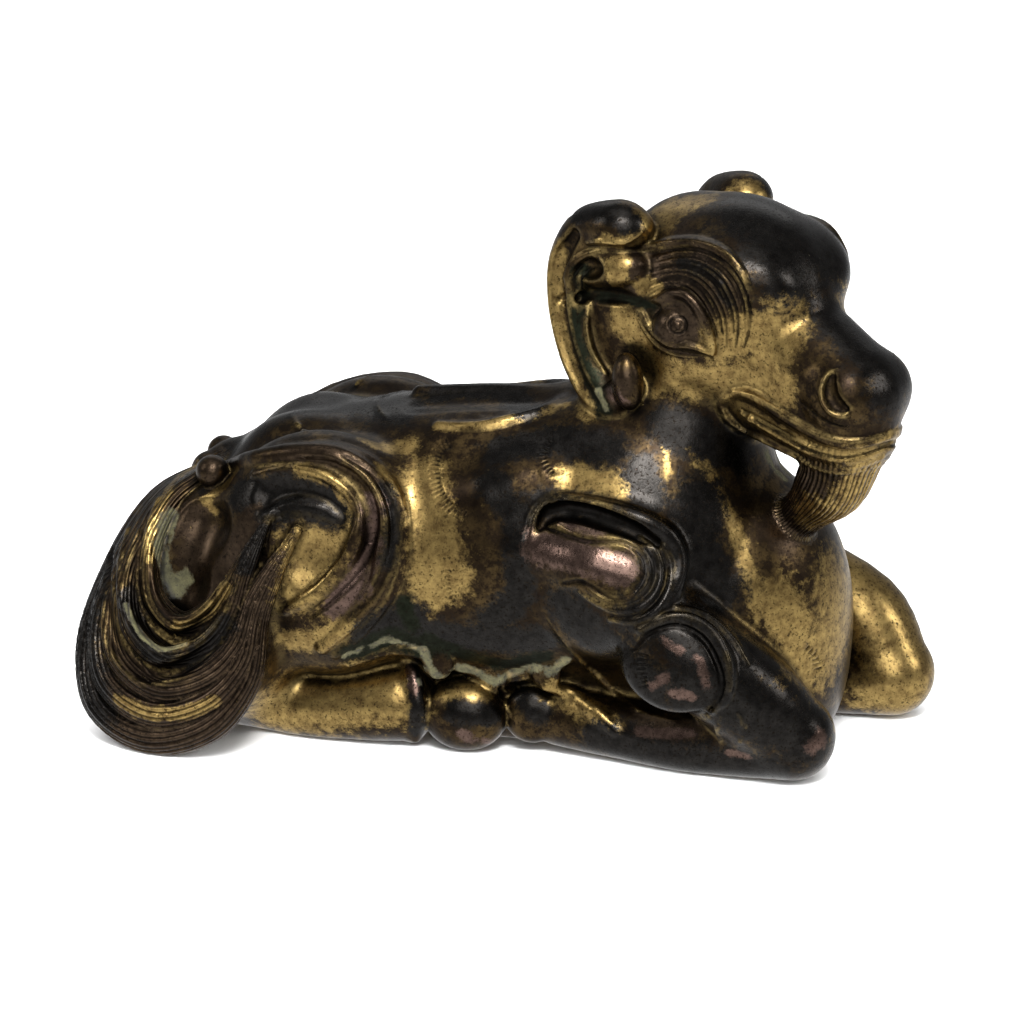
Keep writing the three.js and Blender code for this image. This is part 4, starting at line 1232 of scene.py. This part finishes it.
# The hollows go nearly black: partly dirt, partly painted shade where shade falls in them
low_places = node(bronze, "ShaderNodeMath", {
    0: relief_of["groove"], 1: relief_of["valley"]}, operation="MAXIMUM")
dirt_and_painted_shade = node(bronze, "ShaderNodeMath", {0: low_places, 1: held}, operation="MULTIPLY")
colour = node(bronze, "ShaderNodeMixRGB", {"Fac": dirt_and_painted_shade, "Color1": colour, "Color2": linear("#0f0d0b")})
rubbed = node(bronze, "ShaderNodeMapRange", {
    "Value": flake, "From Min": 0.4, "From Max": 0.62, "To Min": 0.0, "To Max": 0.5})
rub = node(bronze, "ShaderNodeMath", {0: relief_of["ridge"], 1: rubbed}, operation="MULTIPLY")
bare = node(bronze, "ShaderNodeMath", {0: masks["dark"], 1: masks["brown"]}, operation="MAXIMUM")
golden = node(bronze, "ShaderNodeMath", {0: bare, 1: -0.8, 2: 1.0}, operation="MULTIPLY_ADD")
rub = node(bronze, "ShaderNodeMath", {0: rub, 1: golden}, operation="MULTIPLY")
colour = node(bronze, "ShaderNodeMixRGB", {"Fac": rub, "Color1": colour, "Color2": linear("#b39a62")})
pits = node(bronze, "ShaderNodeMapRange", {
    "Value": speck, "From Min": 0.56, "From Max": 0.64, "To Min": 0.0, "To Max": 0.75})
colour = node(bronze, "ShaderNodeMixRGB", {"Fac": pits, "Color1": colour, "Color2": linear("#17120d")})
dull = node(bronze, "ShaderNodeMath", {0: dirt_and_painted_shade, 1: pits}, operation="MAXIMUM")
rough = node(bronze, "ShaderNodeMix", {0: dull, 2: rough, 3: 0.5})

# %% The shader: fine relief of flakes and pores, and the metal itself
relief = node(bronze, "ShaderNodeMath", {0: speck, 1: -0.8, 2: flake}, operation="MULTIPLY_ADD")
relief = node(bronze, "ShaderNodeMath", {0: between, 1: -1.5, 2: relief}, operation="MULTIPLY_ADD")
bump = node(bronze, "ShaderNodeBump", {"Height": relief, "Strength": 0.35, "Distance": 0.1 * MM})
shader = node(bronze, "ShaderNodeBsdfPrincipled", {
    "Base Color": colour, "Metallic": metallic, "Roughness": rough, "Normal": bump})
node(bronze, "ShaderNodeOutputMaterial", {"Surface": shader})
casting.data.materials.clear()
casting.data.materials.append(bronze)
print("material:", bronze.name + ",", len(bronze.node_tree.nodes), "nodes")

# %% [markdown]
# ## Studio
# Worn metal shows mostly what it mirrors: white paper below, a dim room above, and a few softboxes
# that give the highlights, a small bright one above the right shoulder, a wide one in front and dim
# ones around. The paper has a lamp of its own, so that it is white from edge to edge. That makes it
# brighter than the metal should mirror, so the metal sees through it to a world that is pale below
# the horizon, and the paper throws no shadow in its way.

# %% Floor
bpy.ops.object.select_all(action="DESELECT")
bpy.ops.mesh.primitive_plane_add(size=6, location=(0, 0, 0))
floor = bpy.context.object
floor.name = "floor"
paper = bpy.data.materials.new("white studio paper")
paper.use_nodes = True
paper.node_tree.nodes.clear()
matte = node(paper, "ShaderNodeBsdfPrincipled", {"Base Color": linear("#f0f0f0"), "Roughness": 0.9})
node(paper, "ShaderNodeOutputMaterial", {"Surface": matte})
floor.data.materials.append(paper)
floor.visible_glossy = False
floor.visible_shadow = False
floor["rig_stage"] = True


# %% Lights
def softbox(name, azimuth, elevation, distance, size, power):
    """An area light that faces the beast: degrees round from its right and up, metres, and watts."""
    a, e = math.radians(azimuth), math.radians(elevation)
    back = Vector((math.sin(a) * math.cos(e), -math.cos(a) * math.cos(e), math.sin(e)))
    bpy.ops.object.light_add(type="AREA", location=Vector((0, 0, 0.04)) + back * distance)
    lamp = bpy.context.object
    lamp.name = name
    lamp.rotation_mode = "QUATERNION"
    lamp.rotation_quaternion = back.to_track_quat("Z", "Y")
    lamp.data.shape = "RECTANGLE"
    lamp.data.size, lamp.data.size_y = size
    lamp.data.energy = power
    return lamp


softbox("key softbox", 20, 52, 0.9, (0.26, 0.22), 6)
softbox("overhead softbox", 0, 84, 0.9, (0.8, 0.5), 1.5)
softbox("front softbox", 12, 30, 1.3, (0.9, 0.7), 6.5)
softbox("left softbox", -65, 28, 0.9, (0.2, 0.4), 1.5)
softbox("right softbox", 85, 28, 0.9, (0.2, 0.4), 2)
softbox("back softbox", 190, 40, 0.9, (0.7, 0.3), 0.6)
only_floor = bpy.data.collections.new("lit by the floor lamp")
only_floor.objects.link(floor)
floor_lamp = softbox("floor lamp", 0, 90, 1.6, (2.4, 2.4), 60)
floor_lamp.light_linking.receiver_collection = only_floor

# %% World
PAPER_GLOW = 1.2  # what the metal mirrors below the horizon, where the paper is
ROOM_GLOW = 0.3  # and above it
world = bpy.data.worlds.new("studio")
world.use_nodes = True
world.node_tree.nodes.clear()
way = node(world, "ShaderNodeTexCoord", output="Generated")
height = node(world, "ShaderNodeSeparateXYZ", {"Vector": way}, output="Z")
glow = node(world, "ShaderNodeMapRange", {
    "Value": height, "From Min": -0.3, "From Max": 0.05, "To Min": PAPER_GLOW, "To Max": ROOM_GLOW})
air = node(world, "ShaderNodeBackground", {"Color": (1, 1, 1, 1), "Strength": glow})
node(world, "ShaderNodeOutputWorld", {"Surface": air})
bpy.context.scene.world = world
bpy.context.scene.view_settings.view_transform = "Standard"

# %% Sizes: the dressed casting stays inside the solid's box
low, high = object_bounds()
print("casting:", [round(c / MM, 1) for c in (*low, *high)], "mm")
